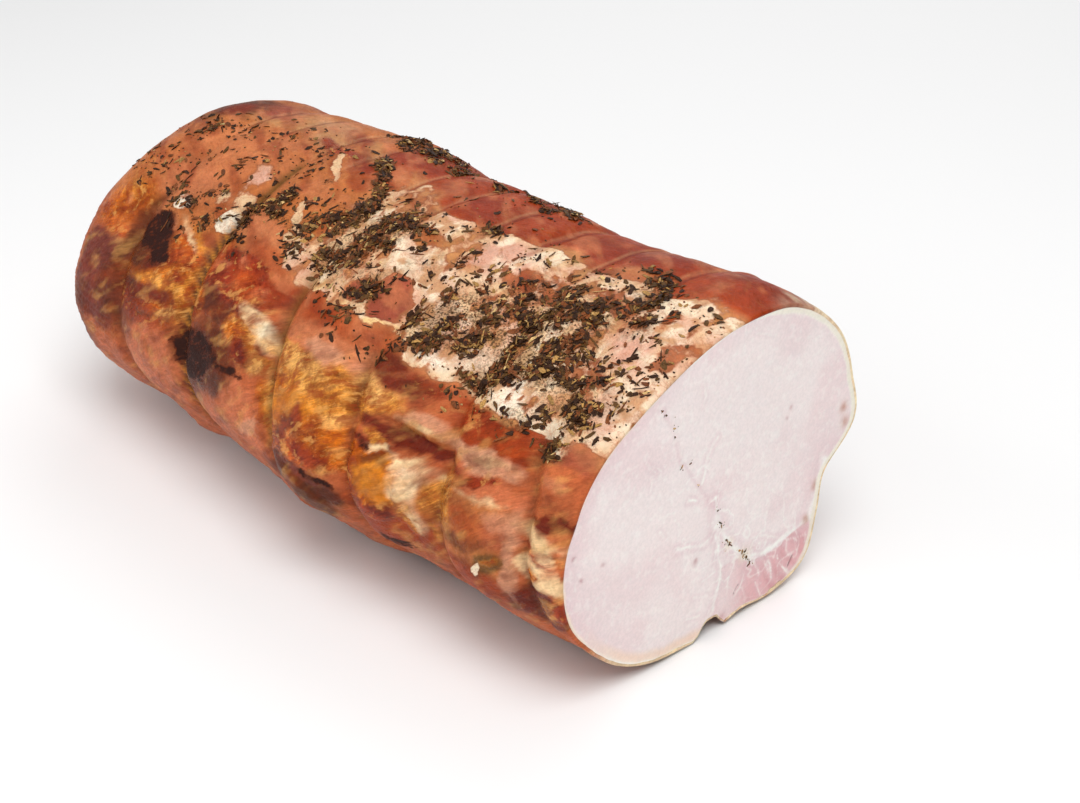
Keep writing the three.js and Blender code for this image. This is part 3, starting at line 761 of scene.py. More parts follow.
@dataclass(frozen=True)
class BrownedSpots:
    """Browned, glazed and pale spots of the far side, from the cut to the rounded end.

    Each pair is the least and the most of a random draw. A spot's width is "flatness" times its
    length.
    """

    count: int = 110
    seed: int = 407
    sizes: Point = (5.0, 18.0)
    backs: Point = (4.0, 228.0)
    turns: Point = (-112.0, 22.0)
    flatness: Point = (0.3, 0.7)
    slants: Point = (-30.0, 30.0)
    softness: Point = (0.3, 0.8)
    strengths: Point = (0.45, 0.95)
    glazes: Point = (0.3, 0.9)

    def patches(self) -> tuple[Patch, ...]:
        """The spots, in the order in which they are laid."""
        random = np.random.default_rng(self.seed)
        spots = []
        for _ in range(self.count):
            size = random.uniform(*self.sizes)
            spots.append(
                Patch(
                    BROWNED_TONES[random.integers(len(BROWNED_TONES))],
                    random.uniform(*self.backs),
                    random.uniform(*self.turns) % 360.0,
                    size,
                    size * random.uniform(*self.flatness),
                    slant=random.uniform(*self.slants),
                    soft=random.uniform(*self.softness),
                    strength=random.uniform(*self.strengths),
                    glaze=random.uniform(*self.glazes),
                )
            )
        return tuple(spots)


@dataclass(frozen=True)
class StringShade:
    """Painted shade in the bottom of a string mark: which mark, from which turn to which."""

    ring: int
    first_turn: float
    last_turn: float
    width: float
    strength: float
    tone: Tone = Tone.SHADE


# painted shade along the bottoms of the string marks; the olive ones in the fourth and fifth marks
# also carry the string's dark print
STRING_SHADES: tuple[StringShade, ...] = (
    StringShade(0, 150, 200, 1.6, 0.5),
    StringShade(1, 140, 200, 1.2, 0.3),
    StringShade(2, 150, 205, 1.5, 0.55),
    StringShade(3, 138, 205, 1.9, 0.65, Tone.OLIVE),
    StringShade(4, 100, 205, 1.7, 0.9, Tone.OLIVE),
    StringShade(5, 140, 200, 1.4, 0.3),
    StringShade(3, 205, 262, 1.6, 0.5),
    StringShade(4, 205, 262, 1.6, 0.5),
)


@dataclass(frozen=True)
class Cloud:
    """Soft spots of one tone: their size in mm, their pattern and how they set in.

    They set in where the noise passes "start", and have their full share at "full".
    """

    tone: Tone
    size: float
    seed: int
    layers: int
    start: float
    full: float
    share: float

    def weight(self, places: Array) -> Array:
        """How much of the tone each place takes, from 0 to the cloud's share."""
        noise = soft_noise(places, self.size, self.seed, self.layers)
        return self.share * ease(self.start, self.full, noise)


TIP_CLOUDS: tuple[Cloud, ...] = (
    Cloud(Tone.TERRACOTTA, 24.0, 109, 5, 0.05, 0.4, 0.7),
    Cloud(Tone.RED_GLAZE, 24.0, 111, 5, 0.05, 0.4, 0.7),
    Cloud(Tone.AMBER, 24.0, 115, 5, 0.05, 0.4, 0.7),
    Cloud(Tone.PALE_GOLD, 24.0, 117, 5, 0.05, 0.4, 0.5),
    Cloud(Tone.UMBER, 24.0, 113, 5, 0.05, 0.4, 0.8),
)

GLAZE_STREAKS: tuple[Cloud, ...] = (
    Cloud(Tone.PALE_GOLD, 2.6, 97, 3, 0.12, 0.62, 0.36),
    Cloud(Tone.MAROON, 3.0, 99, 3, 0.12, 0.62, 0.5),
    Cloud(Tone.ORANGE_GLAZE, 6.0, 103, 3, 0.12, 0.62, 0.25),
)

MEAT_MOTTLES: tuple[Cloud, ...] = (
    Cloud(Tone.SALMON_PALE, 4.0, 105, 3, 0.12, 0.62, 0.5),
    Cloud(Tone.BRICK, 5.0, 107, 3, 0.12, 0.62, 0.5),
)

CREAM_CLOUDS: tuple[Cloud, ...] = (
    Cloud(Tone.PINK_FAT, 11.0, 23, 2, -0.1, -0.6, 0.7),
    Cloud(Tone.DUSTY_PINK, 7.0, 27, 3, 0.0, 0.5, 0.45),
    Cloud(Tone.TAN, 4.5, 25, 4, 0.1, 0.34, 0.8),
)

# the painted shade and the painted highlight along a crease: tone, offset, width and share
CREASE_SHADE_AND_HIGHLIGHT: tuple[tuple[Tone, float, float, float], ...] = (
    (Tone.MAROON, 0.6, 0.9, 0.65),
    (Tone.CREAM, -0.9, 0.5, 0.22),
)


@dataclass
class Coat:
    """What the outside looks like at every place: two linear colours and shares from 0 to 1."""

    meat: Array
    fat: Array
    fat_share: Array
    swirl: Array
    char: Array
    gloss: Array

    @classmethod
    def plain(cls, count: int) -> "Coat":
        """Bare salmon meat, hardly glazed, at a number of places."""
        return cls(
            meat=np.tile(linear(Tone.SALMON.value), (count, 1)),
            fat=np.tile(linear(Tone.CREAM.value), (count, 1)),
            fat_share=np.zeros(count),
            swirl=np.full(count, 0.12),
            char=np.zeros(count),
            gloss=np.full(count, 0.25),
        )

    def shade(self, tone: Tone, weight: Array) -> None:
        """Mixes a tone into the meat and the fat alike."""
        mix_in(self.meat, tone, weight)
        mix_in(self.fat, tone, weight)

    def lay(self, patch: Patch, weight: Array) -> None:
        """Lays one patch over the coat, as fat, as char or as meat."""
        if patch.tone in FAT_TONES and not patch.smeared:
            mix_in(self.fat, patch.tone, weight / max(patch.strength, 1e-6))
            self.fat_share += weight * (1.0 - self.fat_share)
            self.char *= 1.0 - weight
        elif patch.tone is Tone.CHAR:
            self.char += weight * (1.0 - self.char)
            self.fat_share *= 1.0 - weight
        else:
            mix_in(self.meat, patch.tone, weight)
            self.fat_share *= 1.0 - weight
            self.char *= 1.0 - 0.5 * weight
            aim = 1.0 if patch.tone in SWIRLED_TONES else 0.2 if patch.smeared else 0.1
            self.swirl += weight * (aim - self.swirl)
        if patch.glaze is not None:
            self.gloss += weight * (patch.glaze - self.gloss)


@dataclass
class CrustPaint:
    """Works out the colours, gloss and layers of every place of the outside.

    Fields that end in "turns" are windows between which turns something shows. The other pairs
    are where a soft step starts and where it ends. The patches wander by up to a few mm, so that
    their edges are uneven, and a smear keeps "least_smear" of its tone between the streaks.
    """

    shape: LoinShape
    patches: tuple[Patch, ...] = CRUST_PATCHES + BrownedSpots().patches()
    shades: tuple[StringShade, ...] = STRING_SHADES
    wander_size: float = 6.5
    wander_back: float = 2.6
    wander_turn: float = 2.0
    smear_size: float = 2.2
    smear_edge: Point = (-0.5, 0.2)
    least_smear: float = 0.4
    shade_fade: float = 6.0
    cord_ring: int = 4
    cord_pitch: float = 3.4
    cord_slant: float = 0.9
    cord_width: float = 2.2
    cord_light_and_shade: float = 0.75
    cord_turns: Window = ((118, 130), (196, 208))
    crease_turns: Window = ((-60, -40), (86, 98))
    crease_end: Point = (96, 106)
    top_lean: float = -0.66
    side_lean: float = 0.52
    grain_stretch: float = 0.4
    sides_apart: float = 40.0
    glazed_turns: Window = ((148, 157), (206, 226))
    far_side_end: Point = (12, 36)
    smooth_end: Point = (146, 154)
    tip_start: Point = (218, 240)
    tip_full: Point = (238, 250)
    tip_hidden: Point = (20, 50)
    cream_turns: Window = ((77, 84), (143, 152))
    cream_end: Point = (128, 138)
    rimless_turns: Window = ((25, 55), (205, 225))
    rim_strength: float = 0.85
    rim_depth: Point = (0.5, 1.5)
    warmth: Triple = (0.97, 0.95, 0.84)

    def cord_print(self, back: Array, turn: Array) -> Array:
        """The twisted string's print in the fifth mark, from -1 to 1."""
        away = back - self.shape.ring_back(self.cord_ring, turn)
        twist = (turn * Patch.MM_PER_DEGREE + away * self.cord_slant) / self.cord_pitch
        shown = window(turn, self.cord_turns)
        return np.sin(2 * math.pi * twist) * bell(away, self.cord_width) * shown

    def creases(self, turn: Array) -> list[tuple[Array | float, Array]]:
        """Where the creases across the top lie at each turn, and how strong their painted shade and
        highlight are there.
        """
        top = window(turn, self.crease_turns)
        rings = [(self.shape.ring_back(k, turn), top) for k in range(len(self.shape.ring_marks))]
        across = self.shape.short_strength(turn) * (1.0 - ease(*self.crease_end, turn))
        return rings + [(place, across) for place, _ in self.shape.short_marks]

    def coat(self, points: Array, back: Array, turn: Array) -> Coat:
        """Colours and layers of places on the outside.

        Args:
            points: The places, in mm.
            back: Their distances behind the cut face.
            turn: Their angles.

        Returns:
            The coat at each place.
        """
        rough = soft_noise(points, 9.0, 3, 4)
        flow = self.grain_flow(back, turn)
        coat = Coat.plain(len(points))
        self.lay_patches(points, back, turn, flow, rough, coat)
        self.vary_meat(flow, turn, coat)
        self.cloud_tip(points, back, turn, coat)
        self.marble_cream(points, back, turn, coat)
        self.draw_marks(back, turn, rough, coat)
        coat.meat *= np.array(self.warmth)
        return coat

    def grain_flow(self, back: Array, turn: Array) -> Array:
        """Places drawn out along the meat's grain, so that spots of noise turn into streaks."""
        lean = np.where(turn < NEAR_EDGE, self.top_lean, self.side_lean)
        arc = turn * Patch.MM_PER_DEGREE
        along = self.grain_stretch * (back * np.cos(lean) + arc * np.sin(lean))
        across = arc * np.cos(lean) - back * np.sin(lean)
        return np.stack([along, across, self.sides_apart * np.sign(lean)], axis=1)

    def lay_patches(
        self, points: Array, back: Array, turn: Array, flow: Array, rough: Array, coat: Coat
    ) -> None:
        """Lays every patch in its order, with places that wander a little.

        Args:
            points: The places, in mm.
            back: Their distances behind the cut face.
            turn: Their angles.
            flow: The places drawn out along the grain.
            rough: Noise that makes the patches' edges ragged.
            coat: The coat, changed in place.
        """
        moved_back = back + self.wander_back * soft_noise(points, self.wander_size, 91, 5)
        moved_turn = turn + self.wander_turn * soft_noise(points, self.wander_size, 93, 5)
        streaks = ease(*self.smear_edge, soft_noise(flow, self.smear_size, 95, 3))
        wiped = self.least_smear + (1.0 - self.least_smear) * streaks
        for k, patch in enumerate(self.patches):
            weight = patch.weight(moved_back, moved_turn, rough if k % 2 else -rough)
            coat.lay(patch, weight * wiped if patch.smeared else weight)

    def vary_meat(self, flow: Array, turn: Array, coat: Coat) -> None:
        """Streaks the glazed sides with gold and dark red, and mottles the smooth meat."""
        far_side = 1.0 - ease(*self.far_side_end, turn)
        glazed = np.maximum(window(turn, self.glazed_turns), 0.9 * far_side) * (1.0 - coat.char)
        smooth = (1.0 - ease(*self.smooth_end, turn)) * (1.0 - far_side)
        for clouds, place_share in ((GLAZE_STREAKS, glazed), (MEAT_MOTTLES, smooth)):
            for cloud in clouds:
                mix_in(coat.meat, cloud.tone, place_share * cloud.weight(flow))

    def cloud_tip(self, points: Array, back: Array, turn: Array, coat: Coat) -> None:
        """Lays browned and pale clouds over the part of the rounded end that is out of view."""
        tip = ease(*self.tip_start, back)
        tip *= np.maximum(ease(*self.tip_full, back), 1.0 - ease(*self.tip_hidden, turn))
        for cloud in TIP_CLOUDS:
            weight = tip * cloud.weight(points)
            mix_in(coat.meat, cloud.tone, weight)
            coat.fat_share *= 1.0 - weight

    def marble_cream(self, points: Array, back: Array, turn: Array, coat: Coat) -> None:
        """Breaks up the pale fat along the top with paler streaks and redder gaps."""
        band = window(turn, self.cream_turns) * (1.0 - ease(*self.cream_end, back))
        grain = np.stack([back, turn * 0.42, np.zeros(len(back))], axis=1)
        streak = soft_noise(grain, 5.5, 21, 4)
        mix_in(coat.fat, Tone.IVORY, 0.8 * band * ease(0.02, 0.3, streak))
        for cloud in CREAM_CLOUDS:
            mix_in(coat.fat, cloud.tone, band * cloud.weight(points))
        coat.fat_share *= 1.0 - 0.55 * band * ease(0.1, 0.6, -streak)

    def draw_marks(self, back: Array, turn: Array, rough: Array, coat: Coat) -> None:
        """Draws the string marks' painted shade, the creases' painted shade and highlight, the rim
        at the cut and the cord's print with its painted light and shade.
        """
        for shade in self.shades:
            away = back - self.shape.ring_back(shade.ring, turn)
            first, last = shade.first_turn, shade.last_turn
            fade = self.shade_fade
            inside = window(turn, ((first - fade, first), (last, last + fade)))
            coat.shade(shade.tone, shade.strength * inside * bell(away + 0.8 * rough, shade.width))
        # each crease gets a painted shade on one side and a painted highlight on the other
        for place, deep in self.creases(turn):
            away = back - place + 0.5 * rough
            for tone, offset, width, share in CREASE_SHADE_AND_HIGHLIGHT:
                coat.shade(tone, share * deep * bell(away + offset, width))
        sides = 1.0 - window(turn, self.rimless_turns)
        at_cut = 1.0 - ease(*self.rim_depth, back + 0.4 * rough)
        coat.shade(Tone.IVORY, self.rim_strength * sides * at_cut)
        # the cord's print: gold on its raised twists and near black in its grooves, partly the
        # print's colour and partly painted highlight and painted shade
        prints = self.cord_print(back, turn)
        for tone, side in ((Tone.GOLD, 1.0), (Tone.CHAR, -1.0)):
            coat.shade(tone, self.cord_light_and_shade * np.clip(side * prints, 0.0, 1.0))


# ---- herbs ----


@dataclass(frozen=True)
class HerbCluster:
    """A place where herbs lie thick: the middle, half sizes, slant and how thick, from 0 to 1."""

    back: float
    turn: float
    half_back: float
    half_turn: float
    thick: float
    slant: float = 0.0
    soft: float = 0.45


HERB_CLUSTERS: tuple[HerbCluster, ...] = (
    # dense strip behind the third string mark
    HerbCluster(109, 107, 10, 8, 0.85, 10),
    HerbCluster(117, 119, 9, 7, 0.7, 25),
    HerbCluster(112, 129, 10, 4, 0.25, 10),
    HerbCluster(132, 112, 4, 5, 0.45, 10),
    HerbCluster(98, 130, 5, 7, 0.6, 30),
    HerbCluster(111, 98, 4, 3, 0.2),
    HerbCluster(125, 101, 3, 4, 0.2),
    HerbCluster(140, 82, 5, 3, 0.7, -40),
    HerbCluster(132, 91, 7, 2.6, 0.8, -48),
    HerbCluster(126, 108, 2.6, 10, 0.8),
    # dense strip from the cut to the third string mark
    HerbCluster(66, 131, 15, 7, 0.95),
    HerbCluster(46, 130, 14, 8, 0.9),
    HerbCluster(55, 120, 16, 6, 0.75),
    HerbCluster(37, 111, 10, 8, 0.6),
    HerbCluster(43, 101, 5, 6, 0.3),
    HerbCluster(56, 108, 6, 6, 0.65),
    HerbCluster(29, 121, 6, 10, 0.2),
    HerbCluster(70, 138, 8, 5, 0.5),
    HerbCluster(69, 123, 6, 5, 0.8),
    HerbCluster(30, 109, 4, 5, 0.4),
    HerbCluster(95, 115, 6, 5, 0.3),
    HerbCluster(43, 135, 6, 6, 0.6),
    HerbCluster(114, 132, 9, 4, 0.35),
    HerbCluster(55, 101, 6, 4, 0.45),
    HerbCluster(40, 136, 16, 4, 0.85),
    HerbCluster(24, 140, 5, 8, 0.45),
    HerbCluster(15, 136, 8, 8, 0.35),
    HerbCluster(14, 143, 4.5, 3, 0.3),
    HerbCluster(47, 143, 6, 4, 0.6),
    HerbCluster(28, 149, 4, 4, 0.6),
    HerbCluster(14, 152, 5, 3, 0.5),
    HerbCluster(26, 89, 4, 8, 0.75, 20),
    HerbCluster(19, 105, 2.6, 6, 0.85),
    HerbCluster(34, 103, 6, 5, 0.35),
    HerbCluster(84, 87, 3, 3, 0.7),
    HerbCluster(95, 122, 4, 3, 0.5),
    HerbCluster(84, 112, 5, 6, 0.35),
    # loose herbs towards the end
    HerbCluster(154.5, 115, 2.6, 5, 0.8),
    HerbCluster(155, 122.5, 11, 2.4, 0.75, -18),
    HerbCluster(145, 125, 5, 3, 0.55, -10),
    HerbCluster(120, 128, 5, 6, 0.35),
    HerbCluster(17, 109, 4, 4, 0.4),
    HerbCluster(138, 121, 4, 4, 0.3),
    HerbCluster(136, 131, 9, 5, 0.12, -20),
    HerbCluster(162, 128, 3, 8, 0.65),
    HerbCluster(180, 131, 18, 7, 0.15),
    HerbCluster(172, 137, 4, 5, 0.5),
    HerbCluster(199, 132, 3, 3, 0.4),
    HerbCluster(158, 136, 3, 5, 0.5),
    HerbCluster(147, 102, 2, 2, 0.8),
    # far edge of the top
    HerbCluster(146, 60, 15, 6, 0.75, -6),
    HerbCluster(130, 60, 9, 5, 0.55),
    HerbCluster(81, 58, 7, 5, 0.8),
    HerbCluster(93, 59, 4, 5, 0.45),
    HerbCluster(105, 60, 4, 3, 0.5),
    HerbCluster(132, 46, 20, 6, 0.22),
    HerbCluster(84, 46, 12, 6, 0.2),
)

HERB_SCATTER: tuple[HerbCluster, ...] = (
    HerbCluster(55, 117, 78, 36, 0.07, soft=0.2),
    HerbCluster(175, 112, 55, 34, 0.035, soft=0.3),
    HerbCluster(30, 79, 6, 4, 0.2),
    HerbCluster(110, 70, 40, 12, 0.008),
    HerbCluster(213, 100, 5, 7, 0.1),
)

BARE_PLACES: tuple[HerbCluster, ...] = (
    HerbCluster(97, 114, 3.6, 10, 0.9, 12),
    HerbCluster(81, 116, 3.5, 11, 0.8, 15),
    HerbCluster(87, 131, 6, 9, 0.9, 14),
    HerbCluster(8, 100, 5, 8, 0.8, 15),
    HerbCluster(33, 143, 6, 3, 0.6),
    HerbCluster(52, 136, 5, 3, 0.55),
    HerbCluster(86, 142, 6, 4, 0.7),
    HerbCluster(148, 132, 9, 5, 0.6),
    HerbCluster(110, 86, 16, 5, 0.8),
    HerbCluster(16, 113, 7, 7, 0.5),
)


@dataclass
class HerbSpread:
    """How thick the herbs lie at every place of the outside.

    "clusters" and "scatter" lay herbs, and "bare" takes them away.
    """

    clusters: tuple[HerbCluster, ...] = HERB_CLUSTERS
    scatter: tuple[HerbCluster, ...] = HERB_SCATTER
    bare: tuple[HerbCluster, ...] = BARE_PLACES

    @staticmethod
    def cover(cluster: HerbCluster, back: Array, turn: Array) -> Array:
        """One cluster's share at each place, from 0 to its own thickness."""
        around = turn_between(turn, cluster.turn) * Patch.MM_PER_DEGREE
        along, across = turned(back - cluster.back, around, cluster.slant)
        half_width = cluster.half_turn * Patch.MM_PER_DEGREE
        far = np.hypot(along / cluster.half_back, across / half_width)
        return cluster.thick * (1.0 - ease(1.0 - cluster.soft, 1.0 + cluster.soft, far))

    def thickness(self, back: Array, turn: Array) -> Array:
        """Chance of herbs at each place, from 0 to 1."""
        open_share = np.ones(len(back))
        for cluster in (*self.clusters, *self.scatter):
            open_share *= 1.0 - self.cover(cluster, back, turn)
        total = 1.0 - open_share
        for cluster in self.bare:
            total *= 1.0 - self.cover(cluster, back, turn)
        return total


# ---- making meshes ----


def clear_selection() -> None:
    """Deselects everything, so that an operator acts on the new piece alone."""
    if bpy.context.object and bpy.context.object.mode != "OBJECT":
        bpy.ops.object.mode_set(mode="OBJECT")
    bpy.ops.object.select_all(action="DESELECT")


def pick_out(piece: Piece) -> None:
    """Selects one piece alone and makes it the active one."""
    clear_selection()
    piece.select_set(True)
    bpy.context.view_layer.objects.active = piece


def set_places(piece: Piece, points: Array) -> None:
    """Moves every vertex of a piece.

    Args:
        piece: The piece, at the origin.
        points: Rows of x, y and z in mm, one for each vertex.
    """
    piece.data.vertices.foreach_set("co", (points * MM).astype(np.float32).ravel())
    piece.data.update()


def get_places(piece: Piece) -> Array:
    """Every vertex's place in mm."""
    flat = np.zeros(len(piece.data.vertices) * 3, np.float32)
    piece.data.vertices.foreach_get("co", flat)
    return flat.reshape(-1, 3).astype(float) / MM


def weld(piece: Piece, distance: float = 0.0005) -> None:
    """Merges vertices closer than a distance in mm and turns all faces outwards."""
    pick_out(piece)
    bpy.ops.object.mode_set(mode="EDIT")
    bpy.ops.mesh.select_all(action="SELECT")
    bpy.ops.mesh.remove_doubles(threshold=distance * MM)
    bpy.ops.mesh.normals_make_consistent(inside=False)
    bpy.ops.object.mode_set(mode="OBJECT")


def new_grid(name: str, rows: int, columns: int) -> tuple[Piece, Array, Array]:
    """A flat grid to be wrapped into a piece.

    Args:
        name: The piece's name.
        rows: Lines of vertices along its first side.
        columns: Lines of vertices along its second side.

    Returns:
        The piece, and each vertex's row and column.
    """
    clear_selection()
    bpy.ops.mesh.primitive_grid_add(
        x_subdivisions=rows - 1, y_subdivisions=columns - 1, size=1.0, location=(0, 0, 0)
    )
    piece = bpy.context.object
    piece.name = piece.data.name = name
    corners = get_places(piece) * MM
    row = np.rint((corners[:, 0] + 0.5) * (rows - 1)).astype(int)
    column = np.rint((corners[:, 1] + 0.5) * (columns - 1)).astype(int)
    return piece, row, column


def outline_prism(
    name: str, outline: Sequence[Point], front: float, length: float, drop: float
) -> Piece:
    """A closed body from an outline in the cut plane, running back and sinking on the way.

    Args:
        name: The piece's name.
        outline: Corners as y and z in mm.
        front: x of the front end in mm.
        length: How far it runs back.
        drop: How far it sinks on the way.

    Returns:
        The new piece.
    """
    clear_selection()
    bpy.ops.mesh.primitive_circle_add(
        vertices=len(outline), radius=1.0, fill_type="NGON", location=(0, 0, 0)
    )
    piece = bpy.context.object
    piece.name = piece.data.name = name
    set_places(piece, np.array([(front, y, z) for y, z in outline], float))
    bpy.ops.object.mode_set(mode="EDIT")
    bpy.ops.mesh.select_all(action="SELECT")
    bpy.ops.mesh.extrude_region_move(
        TRANSFORM_OT_translate={"value": (-length * MM, 0.0, -drop * MM)}
    )
    bpy.ops.mesh.select_all(action="SELECT")
    bpy.ops.mesh.normals_make_consistent(inside=False)
    bpy.ops.mesh.quads_convert_to_tris(quad_method="BEAUTY", ngon_method="BEAUTY")
    bpy.ops.object.mode_set(mode="OBJECT")
    return piece


def copy_of(piece: Piece, name: str) -> Piece:
    """A copy with its own mesh."""
    pick_out(piece)
    bpy.ops.object.duplicate()
    other = bpy.context.object
    other.name = other.data.name = name
    return other


def cut_with(piece: Piece, cutter: Piece, operation: str) -> None:
    """Cuts a piece by another body for good.

    Args:
        piece: The piece to cut.
        cutter: The body that cuts, which is removed.
        operation: DIFFERENCE or INTERSECT.
    """
    pick_out(piece)
    modifier = piece.modifiers.new("cut", "BOOLEAN")
    modifier.object = cutter
    modifier.operation = operation
    modifier.solver = "MANIFOLD"
    bpy.ops.object.modifier_apply(modifier=modifier.name)
    bpy.data.objects.remove(cutter)


def shade_smooth(piece: Piece, angle: float) -> None:
    """Smooth shading, with edges sharper than an angle left sharp."""
    pick_out(piece)
    bpy.ops.object.shade_smooth_by_angle(angle=math.radians(angle))


def cover_with(piece: Piece, material: Material, angle: float) -> None:
    """Gives a piece one material, and smooth shading up to an angle in degrees."""
    piece.data.materials.clear()
    piece.data.materials.append(material)
    shade_smooth(piece, angle)


def store_colour(piece: Piece, name: str, colours: Array) -> None:
    """Keeps one linear colour for each vertex."""
    attribute = piece.data.color_attributes.new(name, "FLOAT_COLOR", "POINT")
    full = np.ones((len(colours), 4), np.float32)
    full[:, :3] = colours
    attribute.data.foreach_set("color", full.ravel())


def store_vector(piece: Piece, name: str, values: Array) -> None:
    """Keeps three numbers for each vertex."""
    attribute = piece.data.attributes.new(name, "FLOAT_VECTOR", "POINT")
    attribute.data.foreach_set("vector", values.astype(np.float32).ravel())


# ---- finishes ----


class NodeSheet:
    """A material's nodes, with short ways to add and join them."""

    def __init__(self, name: str) -> None:
        """Starts an empty material."""
        self.material = bpy.data.materials.new(name)
        self.material.use_nodes = True
        self.tree = self.material.node_tree
        self.shader = self.tree.nodes["Principled BSDF"]

    def add(self, kind: str, **settings: object) -> bpy.types.Node:
        """Adds a node and sets its properties."""
        node = self.tree.nodes.new(kind)
        for key, value in settings.items():
            setattr(node, key, value)
        return node

    def join(self, source: Socket, target: Socket) -> None:
        """Links two sockets."""
        self.tree.links.new(source, target)

    def attribute(self, name: str) -> bpy.types.Node:
        """Reads a piece's own attribute."""
        return self.add("ShaderNodeAttribute", attribute_name=name)

    def parts(self, name: str) -> tuple[Socket, ...]:
        """The three numbers of a piece's own attribute."""
        split = self.add("ShaderNodeSeparateXYZ")
        self.join(self.attribute(name).outputs["Vector"], split.inputs[0])
        return tuple(split.outputs)

    def warp(self, where: Socket, scale: float, reach: float) -> Socket:
        """Coordinates pushed about at random, so that patterns curl."""
        node = self.add("ShaderNodeTexNoise", noise_dimensions="3D")
        node.inputs["Scale"].default_value = scale
        node.inputs["Detail"].default_value = 2.0
        self.join(where, node.inputs["Vector"])
        push = self.add("ShaderNodeVectorMath", operation="MULTIPLY_ADD")
        self.join(node.outputs["Color"], push.inputs[0])
        push.inputs[1].default_value = (reach,) * 3
        self.join(where, push.inputs[2])
        return push.outputs[0]

    def blend(self, low: Sequence[float], high: Sequence[float], share: Socket) -> Socket:
        """Runs from one row of three numbers to another."""
        node = self.add("ShaderNodeMix", data_type="VECTOR", clamp_result=False)
        self.join(share, node.inputs[0])
        node.inputs[4].default_value = low
        node.inputs[5].default_value = high
        return node.outputs[1]

    def between(self, first: Socket, second: Socket, share: Socket) -> Socket:
        """Runs from one value to another."""
        node = self.add("ShaderNodeMix", data_type="FLOAT")
        for index, source in ((0, share), (2, first), (3, second)):
            self.join(source, node.inputs[index])
        return node.outputs[0]

    def times(self, colour: Socket, factor: Socket) -> Socket:
        """Multiplies a colour by three numbers."""
        node = self.add("ShaderNodeVectorMath", operation="MULTIPLY")
        self.join(colour, node.inputs[0])
        self.join(factor, node.inputs[1])
        return node.outputs[0]

    def noise(self, where: Socket, scale: float, detail: float = 4.0, rough: float = 0.6) -> Socket:
        """Random spots.

        Args:
            where: The coordinates.
            scale: Spots for each unit of them.
            detail: Layers of finer spots.
            rough: How strong the finer spots are.

        Returns:
            A value socket, from 0 to 1.
        """
        node = self.add("ShaderNodeTexNoise", noise_dimensions="3D")
        node.inputs["Scale"].default_value = scale
        node.inputs["Detail"].default_value = detail
        node.inputs["Roughness"].default_value = rough
        self.join(where, node.inputs["Vector"])
        return node.outputs["Fac"]

    def spread(self, value: Socket, low: float, high: float, to: tuple[float, float]) -> Socket:
        """Maps a range of values to another, and holds it there."""
        node = self.add("ShaderNodeMapRange", interpolation_type="SMOOTHSTEP")
        self.join(value, node.inputs["Value"])
        for key, number in (("From Min", low), ("From Max", high)):
            node.inputs[key].default_value = number
        node.inputs["To Min"].default_value, node.inputs["To Max"].default_value = to
        return node.outputs["Result"]

    def combine(self, way: str, first: Socket, second: Socket | float) -> Socket:
        """Combines two values by one of the math node's operations."""
        node = self.add("ShaderNodeMath", operation=way)
        self.join(first, node.inputs[0])
        if isinstance(second, float):
            node.inputs[1].default_value = second
        else:
            self.join(second, node.inputs[1])
        return node.outputs[0]

    def sum(self, first: Socket, second: Socket | float) -> Socket:
        """Adds two values."""
        return self.combine("ADD", first, second)

    def product(self, first: Socket, second: Socket | float) -> Socket:
        """Multiplies two values."""
        return self.combine("MULTIPLY", first, second)

    def from_middle(self, noise: Socket) -> Socket:
        """How far noise lies from its middle value: thin lines where this is near 0."""
        return self.combine("ABSOLUTE", self.sum(noise, -0.5), 0.0)

    def tint(self, under: Socket, over: Socket | Enum, share: Socket) -> Socket:
        """Lays one colour over another.

        Args:
            under: The colour below.
            over: The colour above, as a socket or as a named colour.
            share: How much of it.

        Returns:
            The mixed colour.
        """
        node = self.add("ShaderNodeMix", data_type="RGBA", blend_type="MIX")
        factor, first, second = node.inputs[0], node.inputs[6], node.inputs[7]
        self.join(under, first)
        self.join(share, factor)
        if isinstance(over, Enum):
            second.default_value = (*linear(over.value), 1.0)
        else:
            self.join(over, second)
        return node.outputs[2]

    def brighten(self, colour: Socket, value: Socket) -> Socket:
        """Multiplies a colour by a value."""
        node = self.add("ShaderNodeVectorMath", operation="SCALE")
        self.join(colour, node.inputs[0])
        self.join(value, node.inputs["Scale"])
        return node.outputs[0]

    def set_inputs(self, **values: float | tuple[float, ...]) -> None:
        """Sets the shader's inputs, named with low lines for spaces."""
        for key, value in values.items():
            self.shader.inputs[key.replace("_", " ")].default_value = value

    def glow(self, weight: float, colour: Triple, reach: float) -> None:
        """Lets light spread in the flesh, by a weight, a share for each colour and mm."""
        self.set_inputs(
            Subsurface_Weight=weight, Subsurface_Radius=colour, Subsurface_Scale=reach * MM
        )

    def bump(self, height: Socket, depth: float, strength: float = 1.0) -> None:
        """Raises the surface by a height times a depth in mm."""
        node = self.add("ShaderNodeBump")
        node.inputs["Distance"].default_value = depth * MM
        node.inputs["Strength"].default_value = strength
        self.join(height, node.inputs["Height"])
        self.join(node.outputs["Normal"], self.shader.inputs["Normal"])


class CrustTint(Enum):
    """Named colours that the crust's material lays over its painted tones, from 0 to 255. The
    wrinkle and fat-edge colours and the fat's shadow are painted shade.
    """

    WRINKLE = (104, 46, 26)
    DEEP_BLOT = (146, 54, 20)
    LIGHT_BLOT = (232, 168, 90)
    TANNED_FAT = (214, 158, 118)
    FAT_LINE = (178, 112, 80)
    FAT_EDGE = (186, 116, 82)
    FAT_SHADOW = (96, 44, 28)
    SCORCH = (92, 40, 22)
    BLACKENED = (48, 29, 26)
    HERB_DUST = (74, 56, 36)


@dataclass
class CrustFields:
    """Sockets that several parts of the crust's material share."""

    gloss: Socket
    dust: Socket
    fibre_share: Socket
    fat: Socket
    swirl: Socket
    char: Socket
    fibre: Socket
    line: Socket
    lined: Socket
    spots: Socket
    clouds: Socket
    warped: Socket
    curls: Socket
    frills: Socket


